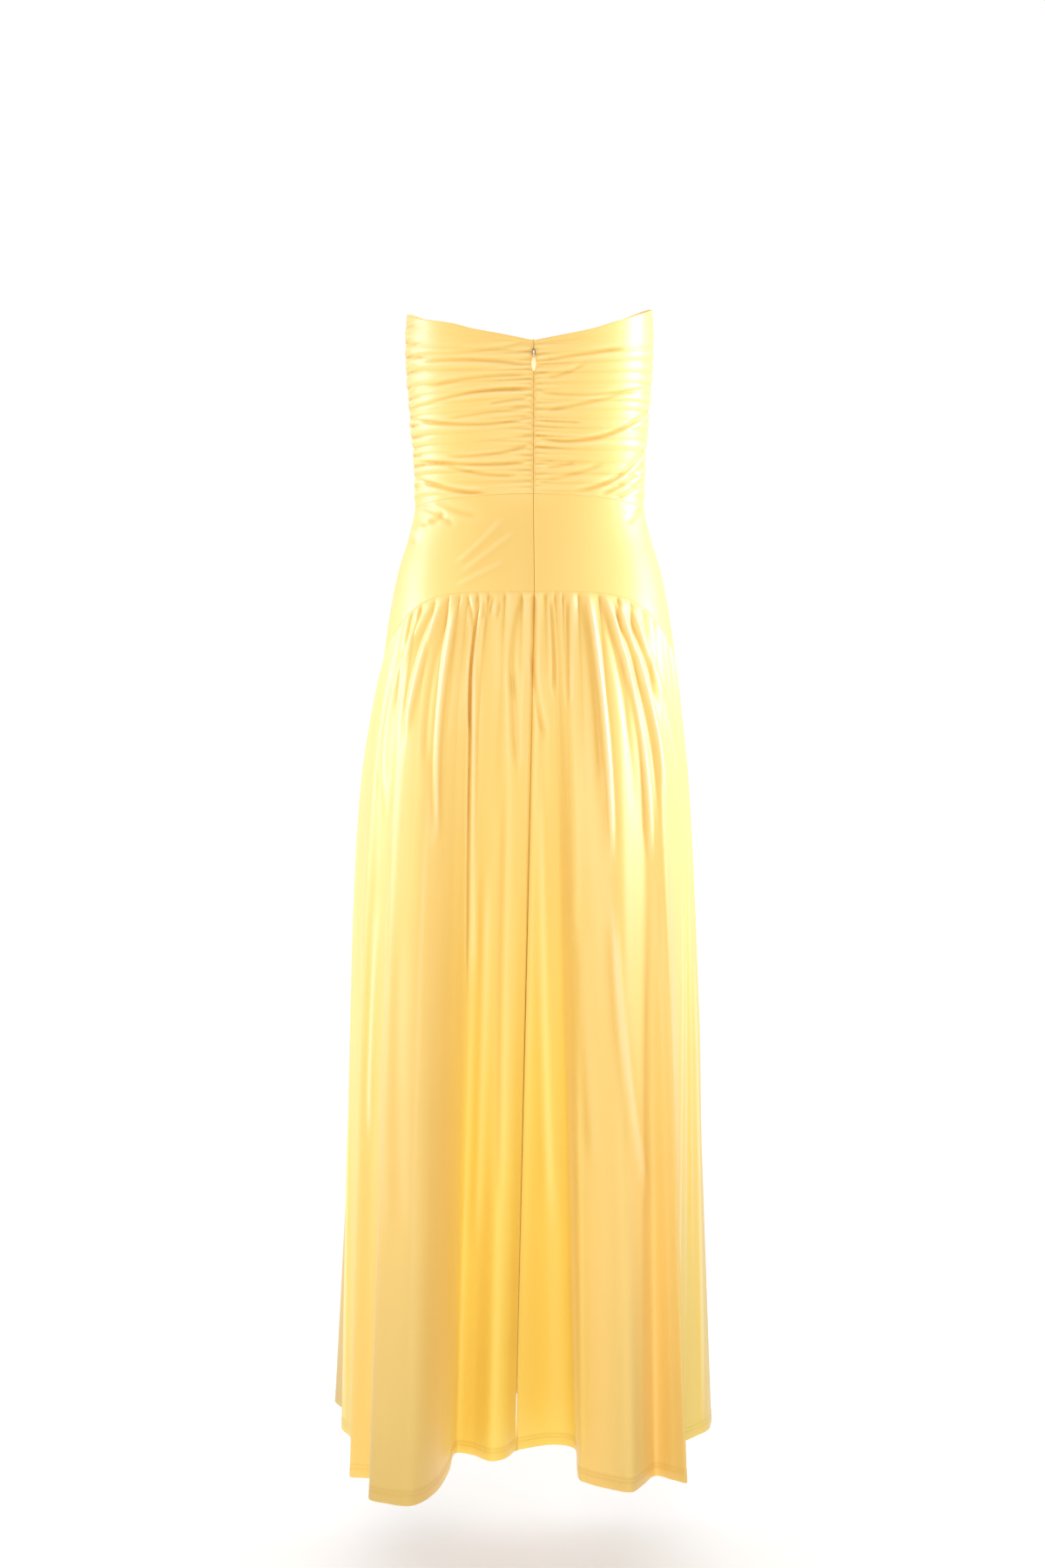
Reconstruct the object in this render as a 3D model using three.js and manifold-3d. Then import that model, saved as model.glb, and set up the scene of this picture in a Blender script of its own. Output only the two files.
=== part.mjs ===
// A strapless maxi dress, worn and hollow: a ruched bodice with a centre-back zip, a smooth
// hip yoke and a long gathered skirt that falls in deep flutes.
//
// Millimetres, +Z up. The back of the dress faces -Y, and +X is the wearer's right. The origin
// is the middle of the chest band that holds the dress up, 40 mm under the side seams' tops.
//
// Places round the body are given by a turn in degrees: 0 is the back's middle, 90 the side
// at +X, 180 the front's middle, 270 the side at -X, and 360 the back's middle again.

import * as THREE from 'three';
import { mergeVertices } from 'three/addons/utils/BufferGeometryUtils.js';
import Module from 'manifold-3d';

// ---- Driving dimensions ----------------------------------------------------------------

const WALL = 1.5; // the cloth with its turned edges, as one wall
const SEAM_GAP = 0.3; // between neighbouring pieces
const ZIP_GAP = 1.8; // between the two folded edges that the zip pulls together
const HEM_SLIT = 7; // how far the back seam's ends part at the hem
const SLIT_POWER = 24; // the higher, the shorter the slit

const ZIP_TURN = 1.8; // the back seam stands a little to +X of the middle
const SIDE_RIGHT = 99; // the side seams lie a little to the front
const SIDE_LEFT = 281;
const FULL_TURN = 360;

const WAIST_HEIGHT = -168;
const WAIST_DIP = 4; // the waist seam is lower at the sides
const YOKE_BACK = -270;
const YOKE_FRONT = -278;
const YOKE_SIDE = -342;
const YOKE_ARCH = 6; // power of the sine that shapes the yoke's lower seam

const HEM_HEIGHT = -1190;
const HEM_TILT = 4; // the hem is higher on the +X side

// The garment's smooth form on a general figure, as ovals. half is the half width.
const SECTIONS = [
  { height: 60, half: 133, back: 84, front: 94 },
  { height: 40, half: 134, back: 88, front: 105 },
  { height: 0, half: 133, back: 92, front: 125 },
  { height: -40, half: 131, back: 92, front: 122 },
  { height: -80, half: 128, back: 88, front: 108 },
  { height: -120, half: 125, back: 83, front: 98 },
  { height: -165, half: 124, back: 80, front: 93 },
  { height: -200, half: 131, back: 87, front: 96 },
  { height: -240, half: 143, back: 101, front: 102 },
  { height: -280, half: 151, back: 118, front: 107 },
  { height: -320, half: 157, back: 130, front: 110 },
  { height: -360, half: 161, back: 137, front: 113 },
];
const SQUARENESS = 0.04; // how far an oval's shoulders stand out past a true ellipse

// The bodice's top edge: a shallow V at the back, and a dip between the cups at the front.
const TOP_EDGE = [
  { turn: 0, height: -4 },
  { turn: 16, height: 4 },
  { turn: 28, height: 11 },
  { turn: 38, height: 19 },
  { turn: 60, height: 34 },
  { turn: 90, height: 47 },
  { turn: 112, height: 52 },
  { turn: 135, height: 47 },
  { turn: 160, height: 32 },
  { turn: 180, height: 25 },
  { turn: 200, height: 31 },
  { turn: 225, height: 44 },
  { turn: 248, height: 47 },
  { turn: 270, height: 40 },
  { turn: 300, height: 27 },
  { turn: 322, height: 17 },
  { turn: 332, height: 10 },
  { turn: 344, height: 4 },
  { turn: 360, height: -4 },
];

// Ruched folds of a back panel, top to bottom: the height of each crest at the zip, halfway
// and at the side seam, and how far it stands out at those three places.
const FOLDS_LEFT = [
  { zip: -11, mid: -3, side: 16, zipOut: 1.5, midOut: 1.0, sideOut: 1.8 },
  { zip: -20, mid: -14, side: -2, zipOut: 1.6, midOut: 2.0, sideOut: 2.2 },
  { zip: -30, mid: -24, side: -15, zipOut: 2.2, midOut: 3.0, sideOut: 2.4 },
  { zip: -40, mid: -41, side: -36, zipOut: 1.8, midOut: 1.8, sideOut: 2.4 },
  { zip: -49, mid: -51, side: -49, zipOut: 1.4, midOut: 0.9, sideOut: 1.6 },
  { zip: -57, mid: -61, side: -60, zipOut: 2.0, midOut: 2.8, sideOut: 2.4 },
  { zip: -66, mid: -72, side: -69, zipOut: 1.5, midOut: 0.9, sideOut: 1.5 },
  { zip: -76, mid: -82, side: -78, zipOut: 1.6, midOut: 1.8, sideOut: 2.4 },
  { zip: -87, mid: -92, side: -89, zipOut: 2.2, midOut: 3.0, sideOut: 2.2 },
  { zip: -98, mid: -105, side: -101, zipOut: 1.5, midOut: 1.0, sideOut: 2.4 },
  { zip: -107, mid: -114, side: -111, zipOut: 1.5, midOut: 0.9, sideOut: 1.6 },
  { zip: -116, mid: -123, side: -121, zipOut: 2.2, midOut: 2.8, sideOut: 2.4 },
  { zip: -131, mid: -134, side: -132, zipOut: 2.0, midOut: 2.4, sideOut: 1.8 },
  { zip: -143, mid: -145, side: -143, zipOut: 1.4, midOut: 1.3, sideOut: 1.8 },
  { zip: -154, mid: -157, side: -156, zipOut: 1.3, midOut: 1.8, sideOut: 1.8 },
];
const FOLDS_RIGHT = [
  { zip: -11, mid: -1, side: 20, zipOut: 1.5, midOut: 1.0, sideOut: 1.8 },
  { zip: -25, mid: -14, side: 1, zipOut: 2.4, midOut: 2.8, sideOut: 2.2 },
  { zip: -34, mid: -27, side: -15, zipOut: 1.6, midOut: 1.6, sideOut: 2.0 },
  { zip: -43, mid: -39, side: -28, zipOut: 1.8, midOut: 1.1, sideOut: 2.2 },
  { zip: -52, mid: -49, side: -38, zipOut: 1.4, midOut: 0.9, sideOut: 1.6 },
  { zip: -61, mid: -59, side: -48, zipOut: 2.0, midOut: 2.4, sideOut: 2.4 },
  { zip: -70, mid: -68, side: -57, zipOut: 1.5, midOut: 1.6, sideOut: 1.6 },
  { zip: -79, mid: -78, side: -67, zipOut: 1.6, midOut: 1.2, sideOut: 2.2 },
  { zip: -89, mid: -88, side: -77, zipOut: 1.8, midOut: 1.8, sideOut: 2.0 },
  { zip: -98, mid: -98, side: -88, zipOut: 1.4, midOut: 1.0, sideOut: 1.8 },
  { zip: -108, mid: -109, side: -99, zipOut: 2.4, midOut: 3.0, sideOut: 2.4 },
  { zip: -122, mid: -122, side: -112, zipOut: 1.6, midOut: 1.2, sideOut: 2.0 },
  { zip: -136, mid: -135, side: -125, zipOut: 1.8, midOut: 1.6, sideOut: 2.4 },
  { zip: -147, mid: -146, side: -138, zipOut: 1.5, midOut: 2.6, sideOut: 2.4 },
  { zip: -156, mid: -157, side: -153, zipOut: 1.2, midOut: 1.6, sideOut: 2.0 },
];
const FRONT_SAG = 7; // the front's folds hang this much lower at its middle
const FRONT_MID_OUT = [1.2, 2.4, 1.4, 2.8, 1.2, 2.2]; // the front's crests, repeated downwards
const TROUGH_SHARE = 0.35; // a trough's depth, as a share of the crests beside it
const ZIP_EDGE_SHARE = 0.35; // the folds' height left where they meet the zip
const ZIP_EDGE_REACH = 0.05; // share of the panel's width over which they rise to full height

// The hem's plan, as the skirt hangs. seam is the turn on the yoke's lower seam that each
// stretch of cloth hangs from, so unequal steps of seam are unequal gathering.
const HEM_PLAN = [
  { seam: 1.8, x: -15, y: -28 }, // the back seam
  { seam: 3.5, x: 12, y: -11 },
  { seam: 5, x: 28, y: -7 },
  { seam: 7, x: 43, y: -14 },
  { seam: 9, x: 50, y: -34 }, // the wall of the deep middle fold
  { seam: 14, x: 50, y: -131 },
  { seam: 18, x: 58, y: -152 },
  { seam: 24, x: 79, y: -173 }, // back right flute
  { seam: 32, x: 103, y: -187 },
  { seam: 37, x: 116, y: -163 },
  { seam: 42, x: 130, y: -132 },
  { seam: 47, x: 148, y: -148 },
  { seam: 51, x: 161, y: -158 }, // outer right flute
  { seam: 60, x: 151, y: -92 },
  { seam: 72, x: 161, y: -22 },
  { seam: 81, x: 180, y: 10 },
  { seam: 91, x: 200, y: 45 },
  { seam: 99, x: 203, y: 90 }, // right side seam
  { seam: 106, x: 178, y: 118 },
  { seam: 115, x: 190, y: 180 },
  { seam: 124, x: 162, y: 196 },
  { seam: 133, x: 134, y: 166 },
  { seam: 143, x: 117, y: 232 },
  { seam: 153, x: 60, y: 240 }, // front right flute
  { seam: 163, x: 32, y: 178 },
  { seam: 173, x: 6, y: 178 },
  { seam: 183, x: -34, y: 242 },
  { seam: 195, x: -90, y: 240 }, // front left flute
  { seam: 205, x: -112, y: 174 },
  { seam: 216, x: -143, y: 226 },
  { seam: 232, x: -188, y: 214 },
  { seam: 246, x: -227, y: 194 }, // outer front flute
  { seam: 257, x: -204, y: 128 },
  { seam: 268, x: -211, y: 78 },
  { seam: 275, x: -200, y: 44 },
  { seam: 281, x: -184, y: -2 }, // left side seam
  { seam: 287, x: -172, y: -46 },
  { seam: 298, x: -188, y: -112 }, // outer left flute
  { seam: 304, x: -165, y: -122 },
  { seam: 309, x: -156, y: -152 },
  { seam: 314, x: -163, y: -192 },
  { seam: 318, x: -148, y: -207 },
  { seam: 325, x: -117, y: -217 }, // back left flute
  { seam: 331, x: -96, y: -174 },
  { seam: 337, x: -85, y: -104 },
  { seam: 344, x: -80, y: -36 }, // the crevice beside it
  { seam: 348, x: -62, y: -42 },
  { seam: 353, x: -42, y: -67 },
  { seam: 357, x: -26, y: -58 },
  { seam: 361.8, x: -15, y: -28 }, // the back seam
];

// The plain oval that the hem's flutes stand in and out of.
const HEM_OVAL = { left: 216, right: 187, back: 190, front: 215 };
const HIP_SPREAD = 0.5; // share of the spread from yoke to hem that comes within the hips
const HIP_REACH = 0.12; // share of the skirt's length over which it comes
const FLUTE_GROWTH = 1.15; // power of the length with which the flutes deepen

const GATHERS_BACK = 15; // in each back panel of the skirt
const GATHERS_FRONT = 28;
const GATHER_OUT = 3.2; // how far a gather's crest stands out just under the seam
const GATHER_IN = 0.8;
const GATHER_RISE = 0.008; // share of the length over which a gather rises from the seam
const GATHER_FADE = 0.14; // and over which it melts into the flutes
const GATHER_UNEVEN = 0.22; // how far a gather strays from an even step
const GATHER_WANDER = 2.6; // radians from one gather's stray to the next one's
const SEAM_BALANCE = 0.5; // gathers are spaced half by the seam, half by the cloth at the hem

// Rows of the skirt's wall, as shares of its length.
const SKIRT_ROWS = [0, 0.008, 0.035, 0.09, 0.165, 0.26, 0.365, 0.48, 0.6, 0.72, 0.84, 0.93, 1];

// Columns of a bodice back panel, from the zip to the side seam, as shares of its turn.
const BACK_COLUMNS = [0, 0.03, 0.08, 0.15, 0.24, 0.34, 0.45, 0.56, 0.67, 0.77, 0.86, 0.94, 1];
const FRONT_COLUMNS = 20;
const YOKE_ROWS = 4;

// Steps to each side of a place, over which a surface's slope is taken there.
const BODY_STEP = { turn: 0.5, height: 1 };
const SKIRT_STEP = { turn: 0.2, down: 0.002 };

const TAPE = { half: 8, thick: 1, inset: 2.7, top: -8, bottom: -268, rows: 22 };
const SLIDER = { height: -17, half: 2.3, halfTall: 4.6, thick: 2, stand: 1.6 };
const SLIDER_NECK = { half: 0.5, halfTall: 3 };
const PULL_AXIS = { height: -20.4, stand: 1.6 }; // stand is measured from the slider's face
const PULL = { thick: 1, bar: 1, slotHalf: 0.95, slotEnd: 2.2, topHalf: 1.7, half: 2.5 };
const PULL_LENGTH = 18; // from the axis to the tip
const BRIDGE = { inner: 1.05, outer: 1.85, half: 0.6 };
const BRIDGE_ROOT = { clear: 0.1, sunk: 0.5 }; // clear of the bridge's eye, sunk in the slider
const CURVE_STEPS = 8; // in a quarter of a round shape
const WELD_WITHIN = 1e-4;

// ---- Cloth and metal -------------------------------------------------------------------

const jersey = new THREE.MeshStandardMaterial({ color: '#f3d17d', roughness: 0.75 });
const zipTape = new THREE.MeshStandardMaterial({ color: '#e6c26c', roughness: 0.85 });
const zipMetal = new THREE.MeshStandardMaterial({ color: '#e3bf68', roughness: 0.4 });

// ---- Small helpers ---------------------------------------------------------------------

const lerp = (from, to, share) => from + (to - from) * share;
const radians = (degrees) => (degrees * Math.PI) / 180;

function smooth(share) {
  const s = Math.min(Math.max(share, 0), 1);
  return s * s * (3 - 2 * s);
}

// The value of one column of a table at a place, on a smooth curve through the table's rows.
// The rows are in rising or falling order of the key.
function along(table, key, column, place) {
  const falling = table[0][key] > table[table.length - 1][key];
  const rows = falling ? [...table].reverse() : table;
  const last = rows.length - 1;
  let i = 0;
  while (i < last - 1 && rows[i + 1][key] < place) i += 1;
  const slope = (a, b) => (rows[b][column] - rows[a][column]) / (rows[b][key] - rows[a][key]);
  const start = slope(Math.max(i - 1, 0), i + 1);
  const end = slope(i, Math.min(i + 2, last));
  const step = rows[i + 1][key] - rows[i][key];
  const s = Math.min(Math.max((place - rows[i][key]) / step, 0), 1);
  const s2 = s * s;
  const s3 = s2 * s;
  return (
    (2 * s3 - 3 * s2 + 1) * rows[i][column] +
    (s3 - 2 * s2 + s) * step * start +
    (3 * s2 - 2 * s3) * rows[i + 1][column] +
    (s3 - s2) * step * end
  );
}

// A curve from a through b, halfway, to c.
function through(a, b, c, share) {
  return a * (1 - share) * (1 - 2 * share) + 4 * b * share * (1 - share) + c * share * (2 * share - 1);
}

// An oval with its own half widths to each side, back and front.
function ovalPoint(turn, left, right, back, front) {
  const sine = Math.sin(radians(turn));
  const cosine = Math.cos(radians(turn));
  const swell = 1 + SQUARENESS * Math.sin(2 * radians(turn)) ** 2;
  const x = sine * (sine > 0 ? right : left) * swell;
  const y = -cosine * (cosine > 0 ? back : front) * swell;
  return [x, y];
}

// ---- The body's form and the seams on it ------------------------------------------------

function bodyPoint(turn, height) {
  const half = along(SECTIONS, 'height', 'half', height);
  const back = along(SECTIONS, 'height', 'back', height);
  const front = along(SECTIONS, 'height', 'front', height);
  const [x, y] = ovalPoint(turn, half, half, back, front);
  return new THREE.Vector3(x, y, height);
}

const topEdge = (turn) => along(TOP_EDGE, 'turn', 'height', ((turn % FULL_TURN) + FULL_TURN) % FULL_TURN);
const waistSeam = (turn) => WAIST_HEIGHT + WAIST_DIP * Math.cos(2 * radians(turn));

function yokeSeam(turn) {
  const middle = Math.cos(radians(turn)) > 0 ? YOKE_BACK : YOKE_FRONT;
  const arch = Math.sin(radians(turn)) ** YOKE_ARCH;
  return lerp(middle, YOKE_SIDE, arch);
}

// The direction along a surface's row and the direction out of the surface.
function frameOf(surface, turn, down, turnStep, downStep) {
  const ahead = surface(turn + turnStep, down).sub(surface(turn - turnStep, down));
  const lower = surface(turn, down + downStep).sub(surface(turn, down - downStep));
  const out = new THREE.Vector3().crossVectors(lower, ahead).normalize();
  return { along: ahead.normalize(), out };
}

function bodyFrame(turn, height) {
  return frameOf((t, down) => bodyPoint(t, -down), turn, -height, BODY_STEP.turn, BODY_STEP.height);
}

// ---- Walls -------------------------------------------------------------------------------

// A closed wall from a grid of outer points and a grid of inner points, row by row downwards
// and column by column with the turn.
function wallGeometry(outer, inner) {
  const rows = outer.length;
  const columns = outer[0].length;
  const points = [...outer.flat(), ...inner.flat()];
  const at = (i, j) => i * columns + j;
  const inside = rows * columns;
  const faces = [];
  for (let i = 0; i < rows - 1; i += 1) {
    for (let j = 0; j < columns - 1; j += 1) {
      const [a, b, c, d] = [at(i, j), at(i + 1, j), at(i + 1, j + 1), at(i, j + 1)];
      const straight = points[a].distanceTo(points[c]) < points[b].distanceTo(points[d]);
      const pair = straight ? [[a, b, c], [a, c, d]] : [[a, b, d], [b, c, d]];
      for (const [p, q, r] of pair) faces.push(p, q, r, p + inside, r + inside, q + inside);
    }
  }
  const rim = [];
  for (let j = 0; j < columns - 1; j += 1) rim.push(at(0, j));
  for (let i = 0; i < rows - 1; i += 1) rim.push(at(i, columns - 1));
  for (let j = columns - 1; j > 0; j -= 1) rim.push(at(rows - 1, j));
  for (let i = rows - 1; i > 0; i -= 1) rim.push(at(i, 0));
  rim.forEach((a, k) => {
    const b = rim[(k + 1) % rim.length];
    faces.push(a, b, b + inside, a, b + inside, a + inside);
  });
  const geometry = new THREE.BufferGeometry();
  const numbers = points.flatMap((point) => [point.x, point.y, point.z]);
  geometry.setAttribute('position', new THREE.Float32BufferAttribute(numbers, 3));
  geometry.setIndex(faces);
  geometry.computeVertexNormals();
  return geometry;
}

// A wall that lies on the body. Each row gives, at a share of the panel's turn, a height and
// how far the cloth stands out there. The first and last columns stop short of their seams.
function bodyWall(from, to, shares, rows, gapFrom, gapTo) {
  const outer = [];
  const inner = [];
  for (const row of rows) {
    const outerRow = [];
    const innerRow = [];
    shares.forEach((share, j) => {
      const turn = lerp(from, to, share);
      const height = row.height(share, turn);
      const frame = bodyFrame(turn, height);
      let shift = 0;
      if (j === 0) shift = gapFrom / 2;
      if (j === shares.length - 1) shift = -gapTo / 2;
      const point = bodyPoint(turn, height).addScaledVector(frame.along, shift);
      point.addScaledVector(frame.out, row.out(share));
      outerRow.push(point);
      innerRow.push(point.clone().addScaledVector(frame.out, -WALL));
    });
    outer.push(outerRow);
    inner.push(innerRow);
  }
  return wallGeometry(outer, inner);
}

// The rows of a ruched panel: its top edge, a trough above each fold, each fold's crest, a last
// trough, and the waist seam. A fold is a function of the share of the panel's turn.
function ruchedRows(folds) {
  const top = { height: (share, turn) => topEdge(turn), out: () => 0 };
  const waist = { height: (share, turn) => waistSeam(turn) + SEAM_GAP / 2, out: () => 0 };
  const crests = folds.map((fold) => ({ height: (share) => fold.height(share), out: fold.out }));
  const all = [top, ...crests, waist];
  const rows = [top];
  for (let k = 1; k < all.length; k += 1) {
    const [above, below] = [all[k - 1], all[k]];
    const height = (share, turn) => lerp(above.height(share, turn), below.height(share, turn), 0.5);
    const out = (share) => -TROUGH_SHARE * lerp(above.out(share), below.out(share), 0.5);
    rows.push({ height, out }, below);
  }
  return rows;
}

// ---- Bodice ------------------------------------------------------------------------------

// A back panel's folds. zipFirst says that the panel's first column is the one at the zip.
function backFolds(table, zipFirst) {
  return table.map((fold) => {
    const fromZip = (share) => (zipFirst ? share : 1 - share);
    const height = (share) => through(fold.zip, fold.mid, fold.side, fromZip(share));
    const out = (share) => {
      const s = fromZip(share);
      const rise = lerp(ZIP_EDGE_SHARE, 1, smooth(s / ZIP_EDGE_REACH));
      return rise * through(fold.zipOut, fold.midOut, fold.sideOut, s);
    };
    return { height, out };
  });
}

// The front's folds run from side seam to side seam and meet the back's folds there.
function frontFolds() {
  return FOLDS_RIGHT.map((right, k) => {
    const left = FOLDS_LEFT[k];
    const mid = lerp(right.side, left.side, 0.5) - FRONT_SAG;
    const midOut = FRONT_MID_OUT[k % FRONT_MID_OUT.length];
    return {
      height: (share) => through(right.side, mid, left.side, share),
      out: (share) => through(right.sideOut, midOut, left.sideOut, share),
    };
  });
}

const evenShares = (steps) => Array.from({ length: steps + 1 }, (_, j) => j / steps);

const bodiceBackRight = bodyWall(
  ZIP_TURN, SIDE_RIGHT, BACK_COLUMNS, ruchedRows(backFolds(FOLDS_RIGHT, true)), ZIP_GAP, SEAM_GAP);

const bodiceBackLeft = bodyWall(
  SIDE_LEFT, FULL_TURN + ZIP_TURN, BACK_COLUMNS.map((share) => 1 - share).reverse(),
  ruchedRows(backFolds(FOLDS_LEFT, false)), SEAM_GAP, ZIP_GAP);

const bodiceFront = bodyWall(
  SIDE_RIGHT, SIDE_LEFT, evenShares(FRONT_COLUMNS), ruchedRows(frontFolds()), SEAM_GAP, SEAM_GAP);

// ---- Gathers -----------------------------------------------------------------------------

// Places round the skirt that mix the seam's turn with the length of cloth at the hem, so that
// the columns lie closer where much cloth hangs from little seam.
function spacingTable() {
  let cloth = 0;
  const rows = HEM_PLAN.map((row, i) => {
    const before = HEM_PLAN[Math.max(i - 1, 0)];
    cloth += Math.hypot(row.x - before.x, row.y - before.y);
    return { turn: row.seam, cloth };
  });
  const scale = FULL_TURN / cloth;
  return rows.map((row) => ({ turn: row.turn, place: lerp(scale * row.cloth, row.turn, SEAM_BALANCE) }));
}

const SPACING = spacingTable();

function between(key, column, place) {
  let i = 0;
  while (i < SPACING.length - 2 && SPACING[i + 1][key] < place) i += 1;
  const share = (place - SPACING[i][key]) / (SPACING[i + 1][key] - SPACING[i][key]);
  return lerp(SPACING[i][column], SPACING[i + 1][column], share);
}

// The columns of a skirt panel, each with its turn and its side: between two gathers, on one,
// between two again, and so on. The seams lie between gathers.
function skirtColumns(from, to, gathers) {
  const start = between('turn', 'place', from);
  const end = between('turn', 'place', to);
  const columns = [];
  for (let k = 0; k <= 2 * gathers; k += 1) {
    const ends = k === 0 || k === 2 * gathers;
    const stray = ends ? 0 : GATHER_UNEVEN * Math.sin(GATHER_WANDER * k + from);
    const place = lerp(start, end, (k + stray) / (2 * gathers));
    columns.push({ turn: between('place', 'turn', place), side: k % 2 ? 1 : -1 });
  }
  return columns;
}

// ---- Hip yoke ----------------------------------------------------------------------------

function yokeRows() {
  return evenShares(YOKE_ROWS - 1).map((down) => ({
    height: (share, turn) =>
      lerp(waistSeam(turn) - SEAM_GAP / 2, yokeSeam(turn) + SEAM_GAP / 2, down),
    out: () => 0,
  }));
}

// The yoke has the skirt's columns, so that the two walls' edges run side by side.
function yokePanel(from, to, gathers, gapFrom, gapTo) {
  const shares = skirtColumns(from, to, gathers).map(({ turn }) => (turn - from) / (to - from));
  return bodyWall(from, to, shares, yokeRows(), gapFrom, gapTo);
}

const yokeBackRight = yokePanel(ZIP_TURN, SIDE_RIGHT, GATHERS_BACK, ZIP_GAP, SEAM_GAP);
const yokeBackLeft = yokePanel(SIDE_LEFT, FULL_TURN + ZIP_TURN, GATHERS_BACK, SEAM_GAP, ZIP_GAP);
const yokeFront = yokePanel(SIDE_RIGHT, SIDE_LEFT, GATHERS_FRONT, SEAM_GAP, SEAM_GAP);

// ---- Skirt -------------------------------------------------------------------------------

// The smooth skirt: it spreads over the hips to the hem's oval, and its flutes deepen towards
// the hem. down is the share of its length.
function skirtPoint(turn, down) {
  const seamHeight = yokeSeam(turn) - SEAM_GAP / 2;
  const top = bodyPoint(turn, seamHeight);
  const { left, right, back, front } = HEM_OVAL;
  const [ovalX, ovalY] = ovalPoint(turn, left, right, back, front);
  const hemX = along(HEM_PLAN, 'seam', 'x', turn);
  const hemY = along(HEM_PLAN, 'seam', 'y', turn);
  const spread = HIP_SPREAD * (1 - Math.exp(-down / HIP_REACH)) + (1 - HIP_SPREAD) * down;
  const flute = Math.max(down, 0) ** FLUTE_GROWTH;
  const hemHeight = HEM_HEIGHT + HEM_TILT * Math.sin(radians(turn));
  return new THREE.Vector3(
    lerp(top.x, ovalX, spread) + (hemX - ovalX) * flute,
    lerp(top.y, ovalY, spread) + (hemY - ovalY) * flute,
    lerp(seamHeight, hemHeight, down),
  );
}

// How far a gather stands out. side is +1 on a crest and -1 between two.
function gatherOut(side, down) {
  const height = side > 0 ? GATHER_OUT : -GATHER_IN;
  return height * smooth(down / GATHER_RISE) * Math.exp(-down / GATHER_FADE);
}

function skirtPanel(from, to, gathers, gapFrom, gapTo) {
  const columns = skirtColumns(from, to, gathers);
  const outer = [];
  const inner = [];
  for (const down of SKIRT_ROWS) {
    const outerRow = [];
    const innerRow = [];
    columns.forEach(({ turn, side }, j) => {
      const seam = bodyFrame(turn, yokeSeam(turn));
      const inwards = Math.min(Math.max(turn, from + SKIRT_STEP.turn), to - SKIRT_STEP.turn);
      const under = Math.max(down, SKIRT_STEP.down);
      const frame = frameOf(skirtPoint, inwards, under, SKIRT_STEP.turn, SKIRT_STEP.down);
      const out = down === 0 ? seam.out : frame.out;
      let shift = 0;
      if (j === 0) shift = gapFrom(down) / 2;
      if (j === columns.length - 1) shift = -gapTo(down) / 2;
      const point = skirtPoint(turn, down).addScaledVector(down === 0 ? seam.along : frame.along, shift);
      const standing = j === 0 || j === columns.length - 1 ? 0 : gatherOut(side, down);
      point.addScaledVector(out, standing);
      outerRow.push(point);
      innerRow.push(point.clone().addScaledVector(out, -WALL));
    });
    outer.push(outerRow);
    inner.push(innerRow);
  }
  return wallGeometry(outer, inner);
}

const seamGap = () => SEAM_GAP;
const backSeamGap = (down) => SEAM_GAP + HEM_SLIT * down ** SLIT_POWER;

const skirtBackRight = skirtPanel(ZIP_TURN, SIDE_RIGHT, GATHERS_BACK, backSeamGap, seamGap);
const skirtBackLeft = skirtPanel(SIDE_LEFT, FULL_TURN + ZIP_TURN, GATHERS_BACK, seamGap, backSeamGap);
const skirtFront = skirtPanel(SIDE_RIGHT, SIDE_LEFT, GATHERS_FRONT, seamGap, seamGap);

// ---- Zip ---------------------------------------------------------------------------------

// The zip's tape and closed coil, one strip behind the two folded edges.
function zipStrip() {
  const outer = [];
  const inner = [];
  for (const down of evenShares(TAPE.rows)) {
    const height = lerp(TAPE.top, TAPE.bottom, down);
    const frame = bodyFrame(ZIP_TURN, height);
    const middle = bodyPoint(ZIP_TURN, height).addScaledVector(frame.out, -TAPE.inset);
    const across = [-TAPE.half, 0, TAPE.half];
    outer.push(across.map((shift) => middle.clone().addScaledVector(frame.along, shift)));
    inner.push(outer.at(-1).map((point) => point.clone().addScaledVector(frame.out, -TAPE.thick)));
  }
  return wallGeometry(outer, inner);
}

const wasm = await Module();
wasm.setup();

function toSolid(geometry) {
  const bare = geometry.clone();
  bare.deleteAttribute('normal');
  bare.deleteAttribute('uv');
  const merged = mergeVertices(bare, WELD_WITHIN);
  return new wasm.Manifold(new wasm.Mesh({
    numProp: 3,
    vertProperties: new Float32Array(merged.attributes.position.array),
    triVerts: new Uint32Array(merged.index.array),
  }));
}

function toGeometry(solid) {
  const mesh = solid.getMesh();
  const geometry = new THREE.BufferGeometry();
  geometry.setAttribute('position', new THREE.BufferAttribute(mesh.vertProperties, 3));
  geometry.setIndex(new THREE.BufferAttribute(mesh.triVerts, 1));
  geometry.computeVertexNormals();
  return geometry;
}

// A shape drawn in x and height, made solid from one y to another, 0 being its own height.
function plate(shape, yFrom, yTo, height) {
  const depth = yTo - yFrom;
  const geometry = new THREE.ExtrudeGeometry(shape, { depth, bevelEnabled: false, curveSegments: CURVE_STEPS });
  geometry.rotateX(Math.PI / 2);
  geometry.translate(0, yTo, height);
  return geometry;
}

function box(halfX, yFrom, yTo, halfZ, height) {
  const geometry = new THREE.BoxGeometry(2 * halfX, yTo - yFrom, 2 * halfZ);
  geometry.translate(0, (yFrom + yTo) / 2, height);
  return geometry;
}

const zipAt = bodyPoint(ZIP_TURN, SLIDER.height);
const sliderFace = zipAt.y - SLIDER.stand - SLIDER.thick;
const pullAxisY = sliderFace - PULL_AXIS.stand;

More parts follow.
